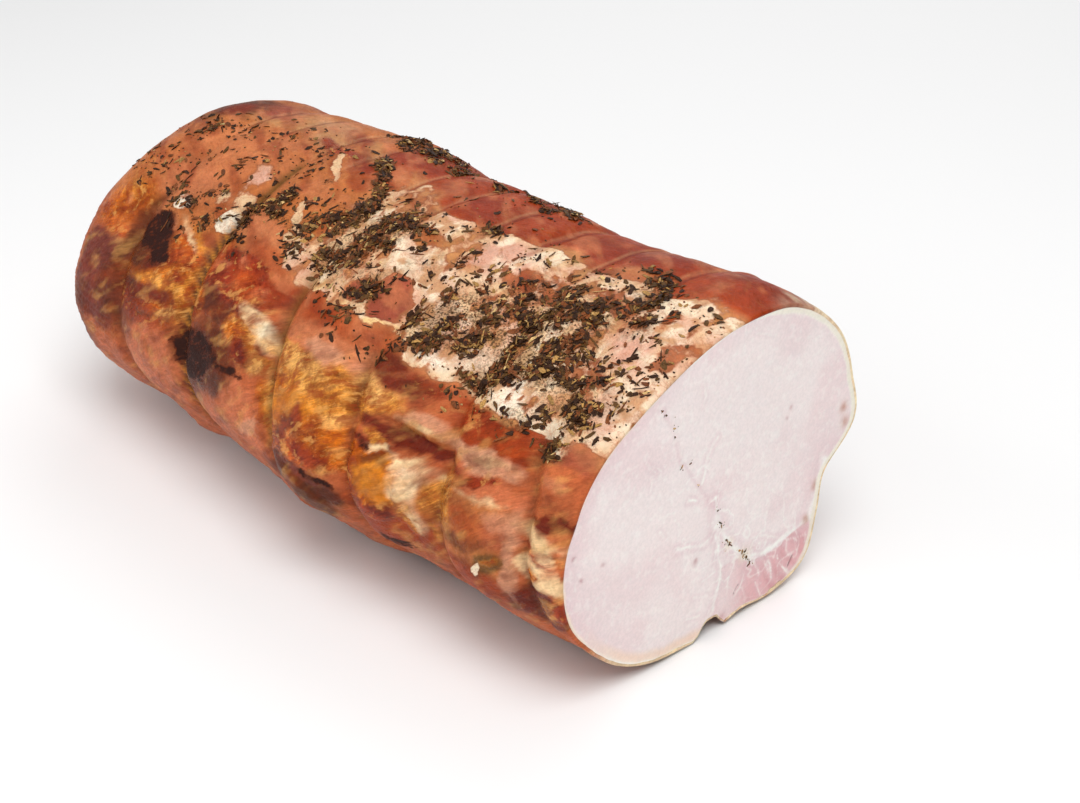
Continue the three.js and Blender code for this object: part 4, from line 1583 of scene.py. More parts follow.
@dataclass(frozen=True)
class CrustFinish:
    """The browned and glazed outside: meat, ragged fat, swirled glaze, char, fibres and dust.

    Scales are spots for each metre, and sizes are a line's length and width in mm, and 1.
    "fibre_warp" is spots for each mm and how far they push, in mm.
    """

    name: str = "browned_meat"
    spot_scale: float = 420.0
    cloud_scale: float = 84.0
    swirl_scale: float = 120.0
    edge_scale: float = 230.0
    fat_line_scale: float = 299.0
    fleck_scale: float = 1500.0
    warp_reach: float = 6.0
    fibre_size: Triple = (6.0, 0.85, 1.0)
    line_size: Triple = (2.8, 0.4, 1.0)
    blot_size: Triple = (6.5, 2.8, 1.0)
    fibre_warp: Point = (0.07, 5.0)
    top_slant: float = -38.0
    side_slant: float = 30.0
    streak: float = 0.17
    wrinkle_glint_and_shade: float = 0.18
    burnt: Triple = (0.42, 0.2, 0.12)
    bright: Triple = (1.4, 1.6, 1.8)
    edge_ragged: float = 0.36
    char_fibre: float = 0.34
    char_spots: float = 0.32
    matt: float = 0.5
    glossy: float = 0.2
    shine_level: float = 0.08
    char_shine: float = 0.015
    relief_depth: float = 0.5
    relief_strength: float = 0.8
    flesh_glow: float = 0.06

    def make(self) -> Material:
        """Builds the material."""
        sheet = NodeSheet(self.name)
        fields = self.fields(sheet)
        meat = self.meat(sheet, fields)
        reach = sheet.sum(fields.fat, self.ragged(sheet, fields.frills, self.edge_ragged))
        cover = sheet.spread(reach, 0.36, 0.62, (0.0, 1.0))
        colour = sheet.tint(meat, self.pale_fat(sheet, fields, reach), cover)
        shadow = sheet.product(sheet.spread(reach, 0.3, 0.5, (0.0, 1.0)), 0.3)
        shadow = sheet.product(shadow, sheet.spread(cover, 0.0, 1.0, (1.0, 0.0)))
        colour = sheet.tint(colour, CrustTint.FAT_SHADOW, shadow)
        colour = self.charred(sheet, fields, colour)
        flecks = sheet.noise(self.place(sheet), self.fleck_scale, 3.0, 0.6)
        speckle = sheet.product(sheet.spread(flecks, 0.5, 0.6, (0.0, 1.0)), fields.dust)
        colour = sheet.tint(colour, CrustTint.HERB_DUST, speckle)
        sheet.join(colour, sheet.shader.inputs["Base Color"])
        moist = sheet.sum(fields.gloss, fields.spots)
        rough = sheet.spread(moist, 0.35, 1.45, (self.matt, self.glossy))
        sheet.join(rough, sheet.shader.inputs["Roughness"])
        self.raise_relief(sheet, fields, cover, speckle)
        sheet.glow(self.flesh_glow, (1.0, 0.35, 0.2), 2.0)
        return sheet.material

    @staticmethod
    def place(sheet: NodeSheet) -> Socket:
        """The piece's own coordinates, in metres."""
        return sheet.add("ShaderNodeTexCoord").outputs["Object"]

    @staticmethod
    def ragged(sheet: NodeSheet, noise: Socket, reach: float, low: float = 0.2) -> Socket:
        """Noise as a push from -reach to reach, which makes an edge ragged."""
        return sheet.spread(noise, low, 1.0 - low, (-reach, reach))

    def fields(self, sheet: NodeSheet) -> CrustFields:
        """Reads the painted layers and makes the noises of the crust."""
        where = self.place(sheet)
        gloss, dust, fibre_share = sheet.parts("marks")
        fat, swirl, char = sheet.parts("layers")
        fibre = self.fibres(sheet, self.fibre_size)
        warped = sheet.warp(where, self.swirl_scale, self.warp_reach * MM)
        curls = sheet.noise(warped, self.swirl_scale, 8.0, 0.68)
        return CrustFields(
            gloss=gloss,
            dust=dust,
            fibre_share=fibre_share,
            fat=fat,
            swirl=swirl,
            char=char,
            fibre=fibre,
            line=self.fibres(sheet, self.line_size),
            lined=sheet.product(fibre_share, sheet.spread(swirl, 0.1, 0.9, (0.4, 1.0))),
            spots=sheet.noise(where, self.spot_scale, 6.0, 0.66),
            clouds=sheet.noise(where, self.cloud_scale, 4.0, 0.6),
            warped=warped,
            curls=sheet.sum(curls, sheet.product(fibre, 0.14)),
            frills=sheet.noise(warped, self.edge_scale, 6.0, 0.62),
        )

    def meat(self, sheet: NodeSheet, fields: CrustFields) -> Socket:
        """Browned meat with fibres, wrinkles with painted glints and painted shade, swirled glaze
        and blots.
        """
        meat = sheet.attribute("tone").outputs["Color"]
        meat = sheet.brighten(meat, sheet.spread(fields.spots, 0.25, 0.75, (0.8, 1.2)))
        meat = sheet.brighten(meat, sheet.spread(fields.clouds, 0.3, 0.7, (0.84, 1.14)))
        # the grain's streaks, and lighter and darker lines along the fine wrinkles, a painted glint
        # and painted shade
        for noise, low, reach, share in (
            (fields.fibre, 0.3, self.streak, fields.fibre_share),
            (fields.line, 0.34, self.wrinkle_glint_and_shade, fields.lined),
        ):
            push = sheet.product(self.ragged(sheet, noise, reach, low), share)
            meat = sheet.brighten(meat, sheet.sum(push, 1.0))
        # painted shade in the troughs of the fine wrinkles
        wrinkle_shade = sheet.spread(sheet.from_middle(fields.line), 0.0, 0.02, (0.38, 0.0))
        meat = sheet.tint(meat, CrustTint.WRINKLE, sheet.product(wrinkle_shade, fields.lined))
        curled = sheet.spread(fields.curls, 0.44, 0.7, (0.0, 1.0))
        swirled = sheet.times(meat, sheet.blend(self.burnt, self.bright, curled))
        meat = sheet.tint(meat, swirled, sheet.product(fields.swirl, 0.8))
        blots = self.fibres(sheet, self.blot_size)
        for tint, low, high, shares in (
            (CrustTint.DEEP_BLOT, 0.51, 0.61, (0.0, 0.6)),
            (CrustTint.LIGHT_BLOT, 0.36, 0.47, (0.5, 0.0)),
        ):
            blot = sheet.product(sheet.spread(blots, low, high, shares), fields.swirl)
            meat = sheet.tint(meat, tint, blot)
        return meat

    def pale_fat(self, sheet: NodeSheet, fields: CrustFields, reach: Socket) -> Socket:
        """Pale fat with tanned clouds, thin lines and a painted shade along its edge."""
        pale = sheet.attribute("fat_tone").outputs["Color"]
        pale = sheet.brighten(pale, sheet.spread(fields.spots, 0.25, 0.75, (0.82, 1.16)))
        tanned = sheet.spread(fields.clouds, 0.52, 0.7, (0.0, 0.4))
        pale = sheet.tint(pale, CrustTint.TANNED_FAT, tanned)
        lines = sheet.from_middle(sheet.noise(fields.warped, self.fat_line_scale, 4.0, 0.6))
        pale = sheet.tint(pale, CrustTint.FAT_LINE, sheet.spread(lines, 0.0, 0.03, (0.5, 0.0)))
        # painted shade along the fat's edge, so that the lumps look raised
        edge = sheet.spread(reach, 0.5, 0.75, (0.75, 0.0))
        return sheet.tint(pale, CrustTint.FAT_EDGE, edge)

    def charred(self, sheet: NodeSheet, fields: CrustFields, colour: Socket) -> Socket:
        """Lays the charred places over the colour, and takes their shine away."""
        burn = sheet.sum(fields.char, self.ragged(sheet, fields.frills, self.edge_ragged))
        burn = sheet.sum(burn, self.ragged(sheet, fields.fibre, self.char_fibre, 0.25))
        burn = sheet.sum(burn, self.ragged(sheet, fields.spots, self.char_spots, 0.25))
        near = sheet.spread(fields.char, 0.0, 0.2, (0.35, 1.0))
        for tint, low, high, share in (
            (CrustTint.SCORCH, 0.12, 0.5, 0.85),
            (CrustTint.BLACKENED, 0.42, 0.95, 0.95),
        ):
            weight = sheet.product(sheet.spread(burn, low, high, (0.0, share)), near)
            colour = sheet.tint(colour, tint, weight)
        level = sheet.spread(burn, 0.2, 0.8, (self.shine_level, self.char_shine))
        sheet.join(level, sheet.shader.inputs["Specular IOR Level"])
        return colour

    def raise_relief(
        self,
        sheet: NodeSheet,
        fields: CrustFields,
        cover: Socket,
        speckle: Socket,
    ) -> None:
        """Raises the fat, the fibres, the swirls, the lines and the dust a little."""
        height = fields.spots
        for value, share in (
            (cover, 0.55),
            (sheet.product(fields.fibre, fields.fibre_share), 0.45),
            (sheet.product(fields.curls, fields.swirl), 1.2),
            (sheet.product(fields.line, fields.lined), 0.5),
        ):
            height = sheet.sum(height, sheet.product(value, share))
        sheet.bump(sheet.sum(height, speckle), self.relief_depth, self.relief_strength)

    def fibres(self, sheet: NodeSheet, size: Triple) -> Socket:
        """Wandering lines, which lean one way on the top and another way on the near side.

        Args:
            sheet: The material's nodes.
            size: Length and width of a line in mm, and 1.

        Returns:
            A value socket, from 0 to 1.
        """
        lay = sheet.warp(sheet.attribute("lay").outputs["Vector"], *self.fibre_warp)
        values = []
        for slant in (self.top_slant, self.side_slant):
            leaning = sheet.add("ShaderNodeMapping", vector_type="TEXTURE")
            leaning.inputs["Scale"].default_value = size
            leaning.inputs["Rotation"].default_value = (0.0, 0.0, math.radians(slant))
            sheet.join(lay, leaning.inputs["Vector"])
            values.append(sheet.noise(leaning.outputs[0], 1.0, 4.0, 0.62))
        return sheet.between(values[0], values[1], sheet.parts("lay")[2])


class CutTint(Enum):
    """Named colours of the fine strands in the cut face, from 0 to 255."""

    WHITE_STRAND = (246, 236, 232)
    ROSY_STRAND = (230, 204, 204)


@dataclass(frozen=True)
class CutFinish:
    """The moist cut face: painted tones with fine grain, and light that glows in the flesh."""

    name: str
    grain_scale: float = 1100.0
    strand_scale: float = 430.0
    wet: float = 0.36
    dull: float = 0.52
    flesh_glow: float = 0.22

    def make(self) -> Material:
        """Builds the material."""
        sheet = NodeSheet(self.name)
        where = sheet.add("ShaderNodeTexCoord").outputs["Object"]
        tone = sheet.attribute("tone").outputs["Color"]
        grain = sheet.noise(where, self.grain_scale, 4.0, 0.65)
        strands = sheet.noise(where, self.strand_scale, 5.0, 0.7)
        colour = sheet.brighten(tone, sheet.spread(grain, 0.3, 0.7, (0.95, 1.05)))
        white = sheet.spread(strands, 0.55, 0.72, (0.0, 0.3))
        colour = sheet.tint(colour, CutTint.WHITE_STRAND, white)
        rosy = sheet.spread(strands, 0.28, 0.44, (0.2, 0.0))
        colour = sheet.tint(colour, CutTint.ROSY_STRAND, rosy)
        sheet.join(colour, sheet.shader.inputs["Base Color"])
        rough = sheet.spread(grain, 0.3, 0.7, (self.wet, self.dull))
        sheet.join(rough, sheet.shader.inputs["Roughness"])
        sheet.bump(sheet.sum(grain, strands), 0.14, 0.6)
        sheet.glow(self.flesh_glow, (1.0, 0.5, 0.45), 3.0)
        return sheet.material


@dataclass(frozen=True)
class HerbFinish:
    """Dried herbs: each flake has its own tone, with fine veins."""

    name: str = "dried_herbs"
    vein_scale: float = 2600.0
    roughness: float = 0.4
    shine_level: float = 0.16

    def make(self) -> Material:
        """Builds the material."""
        sheet = NodeSheet(self.name)
        where = sheet.add("ShaderNodeTexCoord").outputs["Object"]
        tone = sheet.attribute("tone").outputs["Color"]
        veins = sheet.noise(where, self.vein_scale, 3.0, 0.6)
        colour = sheet.brighten(tone, sheet.spread(veins, 0.25, 0.75, (0.55, 1.45)))
        sheet.join(colour, sheet.shader.inputs["Base Color"])
        sheet.set_inputs(Roughness=self.roughness, Specular_IOR_Level=self.shine_level)
        sheet.bump(veins, 0.3, 0.9)
        return sheet.material


@dataclass(frozen=True)
class FloorFinish:
    """A plain pale studio floor."""

    name: str = "studio_floor"
    level: float = 0.86
    roughness: float = 0.85

    def make(self) -> Material:
        """Builds the material."""
        sheet = NodeSheet(self.name)
        sheet.set_inputs(Base_Color=(*(self.level,) * 3, 1.0), Roughness=self.roughness)
        return sheet.material


# ---- the roast's pieces ----


@dataclass
class SeamOfFat:
    """The seam between the loin and the side muscle.

    "border" is its line in the cut face, as y from the loin's middle and z, in mm. The seam sinks
    by "drop" on its way to the far end, and "floor" is the bottom of the body that cuts along it.
    """

    border: tuple[Point, ...] = (
        (-12.0, -12.0),
        (-3.4, 5.0),
        (1.6, 11.0),
        (2.4, 19.6),
        (8.5, 20.2),
        (13.5, 16.8),
        (20.0, 15.3),
        (27.0, 15.9),
        (33.0, 18.0),
        (40.0, 18.9),
        (70.0, 20.0),
    )
    floor: float = -40.0
    drop: float = 9.0
    past_ends: float = 1.0

    def cutter(self, shape: LoinShape, lift: float) -> Piece:
        """Everything under the seam, with the seam moved by lift in mm."""
        line = [(y - lift + shape.side_shift, z + lift) for y, z in self.border]
        outline = [*line, (line[-1][0], self.floor), (line[0][0], self.floor)]
        front = shape.length / 2 + self.past_ends
        length = shape.length + 2.0 * self.past_ends
        return outline_prism("seam_cutter", outline, front, length, self.drop)


@dataclass(frozen=True)
class Bulge:
    """A small raised or sunken place: middle, half sizes, slant, height and edge softness."""

    back: float
    turn: float
    half_back: float
    half_turn: float
    height: float
    slant: float = 0.0
    soft: float = 0.4

    RAGGED = 0.15

    def relief(self, back: Array, turn: Array, rough: Array) -> Array:
        """Its height at each place, in mm."""
        spot = Patch(
            Tone.CREAM,
            self.back,
            self.turn,
            self.half_back,
            self.half_turn,
            self.slant,
            self.soft,
            ragged=self.RAGGED,
        )
        return self.height * spot.weight(back, turn, rough)


BULGES: tuple[Bulge, ...] = (
    Bulge(66, 181, 11.5, 9, 1.5, soft=0.2),
    Bulge(66, 183, 6, 4, 0.5, soft=0.8),
    Bulge(6.5, 182, 6, 5, 1.0, -15, 0.3),
    Bulge(6.5, 172, 6, 3.5, 0.7),
    Bulge(52, 178, 5, 9, 0.7, 14),
    Bulge(190.5, 136, 4.4, 4.6, 0.7, 35),
    Bulge(167, 135, 2.8, 5.6, 0.6, 20),
    Bulge(33, 143, 7, 6, 0.4),
    Bulge(85.5, 142, 6, 3.6, 0.6),
    Bulge(97, 114, 4, 10, 0.5, 12),
    Bulge(87, 131, 7, 10, -0.7, 14),
    Bulge(56, 166.5, 14, 2.6, -0.8, -10),
    Bulge(69, 171.5, 6, 3, -0.8, -8),
    Bulge(33, 166.4, 9, 2, -0.6, -12),
    Bulge(126, 156.5, 10, 3.4, 0.5, -8),
    Bulge(191, 147, 6, 5, -0.6, -30),
    Bulge(152, 173.5, 9, 5.6, -0.5, -8),
    Bulge(170, 147, 9, 1.4, 0.5, -16),
    Bulge(98, 191, 12, 3, 0.8, -20),
    Bulge(62, 162, 15, 2.6, 0.5),
)


@dataclass
class Crust:
    """The browned outside of the roast, cut along the seam of fat into two pieces.

    "cap" gives the rows of the cut end as distances behind the cut and shares of the radius: the
    edge is rounded, and the rest is set back behind the plates of the cut face.
    """

    shape: LoinShape
    paint: CrustPaint
    herbs: HerbSpread
    seam: SeamOfFat
    row_step: float = 0.8
    first_row: float = 0.45
    dome_rows: int = 66
    dome_rows_behind: float = 2.0
    seen_turns: Point = (45.0, 214.0)
    seen_columns: int = 196
    hidden_columns: int = 92
    cap: tuple[Point, ...] = (
        (0.7, 0.0),
        (0.7, 0.5),
        (0.7, 0.972),
        (0.3, 0.976),
        (0.05, 0.984),
        (0.0, 0.991),
        (0.12, 0.998),
    )
    seam_gap: float = 0.12
    unevenness: float = 0.3
    herb_crust: Point = (0.25, 0.55)
    cord_height: float = 0.4
    side_lean: float = 0.52
    wrinkle_height: float = 0.22
    wrinkled_turns: Window = ((142, 156), (250, 262))
    net_height: float = 0.22
    net_waves: Window = ((2.1, 0.8), (1.5, -1.9))
    net_backs: Window = ((196, 204), (228, 240))
    net_turns: Window = ((142, 152), (186, 196))
    flat_at_cut: Point = (0.0, 1.2)
    flat_at_tip: Point = (248, 259)
    fibre_turns: Window = ((138, 156), (250, 262))
    fibre_end: Point = (226, 248)
    stain: float = 0.6
    dust: float = 0.8
    sharp_angle: float = 50.0
    bulges: tuple[Bulge, ...] = BULGES
    pieces: list[Piece] = field(default_factory=list)

    def columns(self) -> Array:
        """Turns of the mesh's lengthways lines, closest together on the side in view."""
        first, last = self.seen_turns
        hidden = 360.0 - (last - first)
        before = round(self.hidden_columns * (first + 90.0) / hidden)
        after = self.hidden_columns - before
        return np.concatenate(
            [
                np.linspace(-90.0, first, before, endpoint=False),
                np.linspace(first, last, self.seen_columns, endpoint=False),
                np.linspace(last, 270.0, after + 1),
            ]
        )

    def rows(self) -> tuple[Array, Array]:
        """Distances behind the cut face, and the share of the radius, of the rows."""
        start, dome = self.shape.dome_start + self.dome_rows_behind, self.shape.length
        body = np.arange(self.first_row, start, self.row_step)
        lean = np.linspace(0.0, math.pi / 2, self.dome_rows)
        tail = start + (dome - start) * np.sin(lean)
        back = np.concatenate([[place for place, _ in self.cap], body, tail])
        share = np.concatenate([[part for _, part in self.cap], np.ones(len(body) + len(tail))])
        return back, share

    def fine_relief(self, points: Array, back: Array, turn: Array) -> Array:
        """Height of the wrinkles, drops, herb crust and string prints, in mm."""
        height = self.unevenness * soft_noise(points, 7.0, 41, 4)
        least, rough_part = self.herb_crust
        thick = self.herbs.thickness(back, turn)
        height += thick * (least + rough_part * soft_noise(points, 2.6, 43, 2))
        rough = soft_noise(points, 9.0, 3, 2)
        for bulge in self.bulges:
            height += bulge.relief(back, turn, rough)
        height += self.cord_height * self.paint.cord_print(back, turn)
        along, across = turned(back, turn, math.degrees(self.side_lean))
        lines = np.stack([along * 0.2, across * 0.8, np.zeros(len(back))], axis=1)
        wrinkled = window(turn, self.wrinkled_turns)
        height += wrinkled * self.wrinkle_height * soft_noise(lines, 1.6, 47, 3)
        net = np.prod([np.sin(back * a + turn * b) for a, b in self.net_waves], axis=0)
        netted = window(back, self.net_backs) * window(turn, self.net_turns)
        height += self.net_height * netted * net
        return height * ease(*self.flat_at_cut, back) * (1.0 - ease(*self.flat_at_tip, back))

    def build(self) -> None:
        """Wraps one grid into the whole outside and cuts it along the seam."""
        turns = self.columns()
        backs, shares = self.rows()
        piece, row, column = new_grid("loin", len(backs), len(turns))
        back, share, turn = backs[row], shares[row], turns[column]
        base = self.shape.outside(back, turn)
        proud = self.fine_relief(base, back, turn)
        points = self.shape.outside(back, turn, proud)
        middle = np.tile([0.0, self.shape.side_shift, self.shape.centre_height], (len(back), 1))
        middle[:, 0] = points[:, 0]
        inner = middle + (points - middle) * share[:, None]
        points = np.where((share < 1.0)[:, None], inner, points)
        points[:, 2] = np.maximum(points[:, 2], 0.0)
        set_places(piece, points)
        weld(piece)
        muscle = copy_of(piece, "side_muscle")
        cut_with(piece, self.seam.cutter(self.shape, 0.0), "DIFFERENCE")
        cut_with(muscle, self.seam.cutter(self.shape, -self.seam_gap), "INTERSECT")
        self.pieces = [piece, muscle]

    def dress(self, finish: CrustFinish) -> None:
        """Paints the two pieces by place and gives them their material."""
        material = finish.make()
        for piece, node, slot in zip(
            self.pieces, ("loin", "side_muscle"), ("browned_meat", "dark_lean")
        ):
            self.store_coat(piece)
            cover_with(piece, material, self.sharp_angle)
            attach(piece, BODY)
            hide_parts(node)

    def store_coat(self, piece: Piece) -> None:
        """Works out the coat of each vertex and keeps it in the piece's attributes."""
        points = get_places(piece)
        back, turn = self.shape.place_of(points)
        coat = self.paint.coat(points, back, turn)
        thick = self.herbs.thickness(back, turn)
        stain = self.stain * thick * ease(-0.3, 0.4, soft_noise(points, 3.0, 51, 3))
        mix_in(coat.fat, Tone.HERB_STAIN, stain)
        mix_in(coat.meat, Tone.UMBER, 0.7 * stain)
        side = window(turn, self.fibre_turns)
        fibre = (0.4 + 0.6 * side) * (1.0 - 0.7 * ease(0.3, 0.62, coat.meat.mean(axis=1)))
        fibre *= 1.0 - ease(*self.fibre_end, back)
        store_colour(piece, "tone", np.clip(coat.meat, 0, 1))
        store_colour(piece, "fat_tone", np.clip(coat.fat, 0, 1))
        arc = turn * Patch.MM_PER_DEGREE
        for name, values in (
            ("marks", (coat.gloss, self.dust * thick, fibre)),
            ("layers", (coat.fat_share, coat.swirl, coat.char)),
            ("lay", (back, arc, side)),
        ):
            store_vector(piece, name, np.stack(values, axis=1))


class FaceTone(Enum):
    """Named colours of the cut face, as screen values from 0 to 255."""

    PALE_PINK = (241, 222, 219)
    ROSY = (232, 200, 201)
    LEAN = (226, 170, 172)
    DEEP_LEAN = (206, 138, 142)
    FAT = (252, 246, 238)
    CREAMY_RIM = (240, 226, 206)
    SEAM_PINK = (222, 184, 188)
    PEACH = (243, 208, 184)
    SKIN = (222, 178, 126)
    BROWN_EDGE = (186, 120, 96)
    DARK_SPOT = (176, 110, 116)
    # painted shade inside the cracks
    CRACK = (96, 52, 52)
    HALO = (242, 226, 196)


@dataclass(frozen=True)
class Vein:
    """A line of fat in the cut face, or a crack with painted shade in it: its path as y and z,
    width and strength.
    """

    path: tuple[Point, ...]
    width: float
    strength: float
    tone: FaceTone = FaceTone.FAT
    ridge: float = 0.0


FACE_VEINS: tuple[Vein, ...] = (
    Vein(((1.7, 62.0), (-0.5, 60.0), (-2.0, 57.0), (-2.7, 53.6), (-4.0, 50.8)), 0.5, 0.6),
    Vein(((-12.6, 34.1), (-6.3, 32.0), (-1.4, 30.6), (1.5, 31.6), (3.0, 34.0)), 0.5, 0.85),
    Vein(
        ((2.4, 39.6), (3.2, 34.7), (6.6, 29.3), (10.9, 24.2), (16.5, 18.9), (20.4, 15.1)),
        1.1, 0.8,
    ),
    Vein(
        ((16.0, 19.4), (18.6, 18.0), (23.9, 16.7), (29.2, 17.2), (34.5, 17.6), (44.0, 20.1)),
        0.8, 0.95,
    ),
    Vein(
        (
            (-1.5, 1.4), (0.3, 4.2), (3.1, 7.2), (4.8, 12.0),
            (5.8, 15.6), (6.2, 20.1), (4.7, 24.7), (3.4, 31.5),
        ),
        0.7, 0.75,
    ),
    Vein(((3.4, 23.5), (10.0, 24.2), (16.0, 20.6), (19.5, 19.3)), 0.5, 0.5),
    Vein(((43.0, 19.8), (45.2, 24.0), (47.0, 30.0), (49.2, 36.0)), 2.0, 0.75),
    Vein(((20.5, 14.7), (23.0, 9.5)), 0.4, 0.7),
    Vein(((26.2, 12.9), (28.1, 5.8)), 0.4, 0.7),
    Vein(((30.1, 13.1), (32.8, 7.8), (35.8, 4.7)), 0.45, 0.75),
    Vein(((15.9, 13.2), (14.7, 9.3), (12.7, 8.2)), 0.4, 0.6),
    Vein(((37.5, 14.6), (39.0, 10.7)), 0.35, 0.6),
    Vein(((21.6, 8.1), (24.8, 1.6)), 0.4, 0.6),
    Vein(((33.5, 15.6), (35.6, 10.2)), 0.35, 0.55),
    Vein(((23.8, 15.2), (25.0, 11.0)), 0.3, 0.5),
    Vein(((9.0, 15.0), (9.6, 9.0)), 0.4, 0.5),
    Vein(((2.1, 43.8), (-0.5, 42.9)), 0.6, 0.85),
    Vein(((2.1, 43.8), (2.4, 39.6)), 0.4, 0.6),
    Vein(((18.6, 23.9), (24.5, 22.1), (29.5, 18.9)), 0.4, 0.5),
    Vein(((-25.0, 65.1), (-21.7, 61.1)), 0.35, 0.5),
    Vein(((-22.7, 63.3), (-19.7, 61.0)), 0.3, 0.45),
    Vein(((-8.6, 46.9), (-6.0, 46.0)), 0.45, 0.85),
    Vein(((-4.6, 79.2), (-3.3, 76.0), (-4.2, 73.2)), 0.35, 0.4),
    Vein(((22.5, 53.8), (22.7, 49.6)), 0.3, 0.35),
    Vein(((14.6, 86.9), (21.1, 84.2)), 0.3, 0.35),
    Vein(((-22.6, 60.4), (-22.9, 56.3)), 0.3, 0.35),
    Vein(((-5.3, 15.1), (0.7, 13.6)), 0.35, 0.45),
    Vein(((-6.9, 9.6), (-1.9, 8.1)), 0.35, 0.45),
    Vein(((-1.6, 19.5), (3.8, 19.7)), 0.35, 0.45),
    Vein(((-19.1, 42.6), (-18.0, 40.3)), 0.35, 0.4),
    # cracks: shallow grooves painted dark, a painted shade
    Vein(((37.2, 9.7), (35.6, 6.9)), 0.28, 0.8, FaceTone.CRACK, -0.5),
    Vein(((32.5, 3.1), (30.0, 2.2), (27.9, 2.1)), 0.35, 0.9, FaceTone.CRACK, -0.7),
    Vein(((13.8, 10.7), (12.2, 8.8)), 0.22, 0.7, FaceTone.CRACK, -0.4),
)

POCKET_LINE: tuple[Point, ...] = (
    (-19.5, 77.5),
    (-15.4, 70.5),
    (-12.8, 62.0),
    (-8.4, 54.5),
    (-2.2, 46.0),
    (2.4, 39.6),
)

# y, z, size, strength and tone
FACE_SPOTS: tuple[tuple[float, float, float, float, FaceTone], ...] = (
    (-49.9, 48.3, 0.7, 0.8, FaceTone.DARK_SPOT),
    (-47.3, 40.6, 0.6, 0.7, FaceTone.DARK_SPOT),
    (-40.0, 42.3, 0.7, 0.5, FaceTone.DARK_SPOT),
    (-5.0, 26.9, 1.0, 0.6, FaceTone.DARK_SPOT),
    (30.4, 56.7, 0.7, 0.5, FaceTone.DARK_SPOT),
    (31.9, 59.5, 0.8, 0.5, FaceTone.DARK_SPOT),
    (45.0, 29.9, 1.6, 0.8, FaceTone.BROWN_EDGE),
    (41.8, 19.6, 1.5, 0.85, FaceTone.BROWN_EDGE),
    (55.4, 50.6, 1.8, 0.8, FaceTone.BROWN_EDGE),
    (56.6, 45.6, 1.8, 0.7, FaceTone.BROWN_EDGE),
    (7.4, 3.9, 1.4, 0.5, FaceTone.DARK_SPOT),
    (-5.5, 2.4, 1.3, 0.5, FaceTone.DARK_SPOT),
    (-11.4, 3.2, 1.0, 0.45, FaceTone.DARK_SPOT),
    (-17.3, 4.2, 1.0, 0.35, FaceTone.DARK_SPOT),
    (15.8, 20.0, 2.4, 0.6, FaceTone.HALO),
    (9.0, 26.4, 1.8, 0.5, FaceTone.HALO),
)


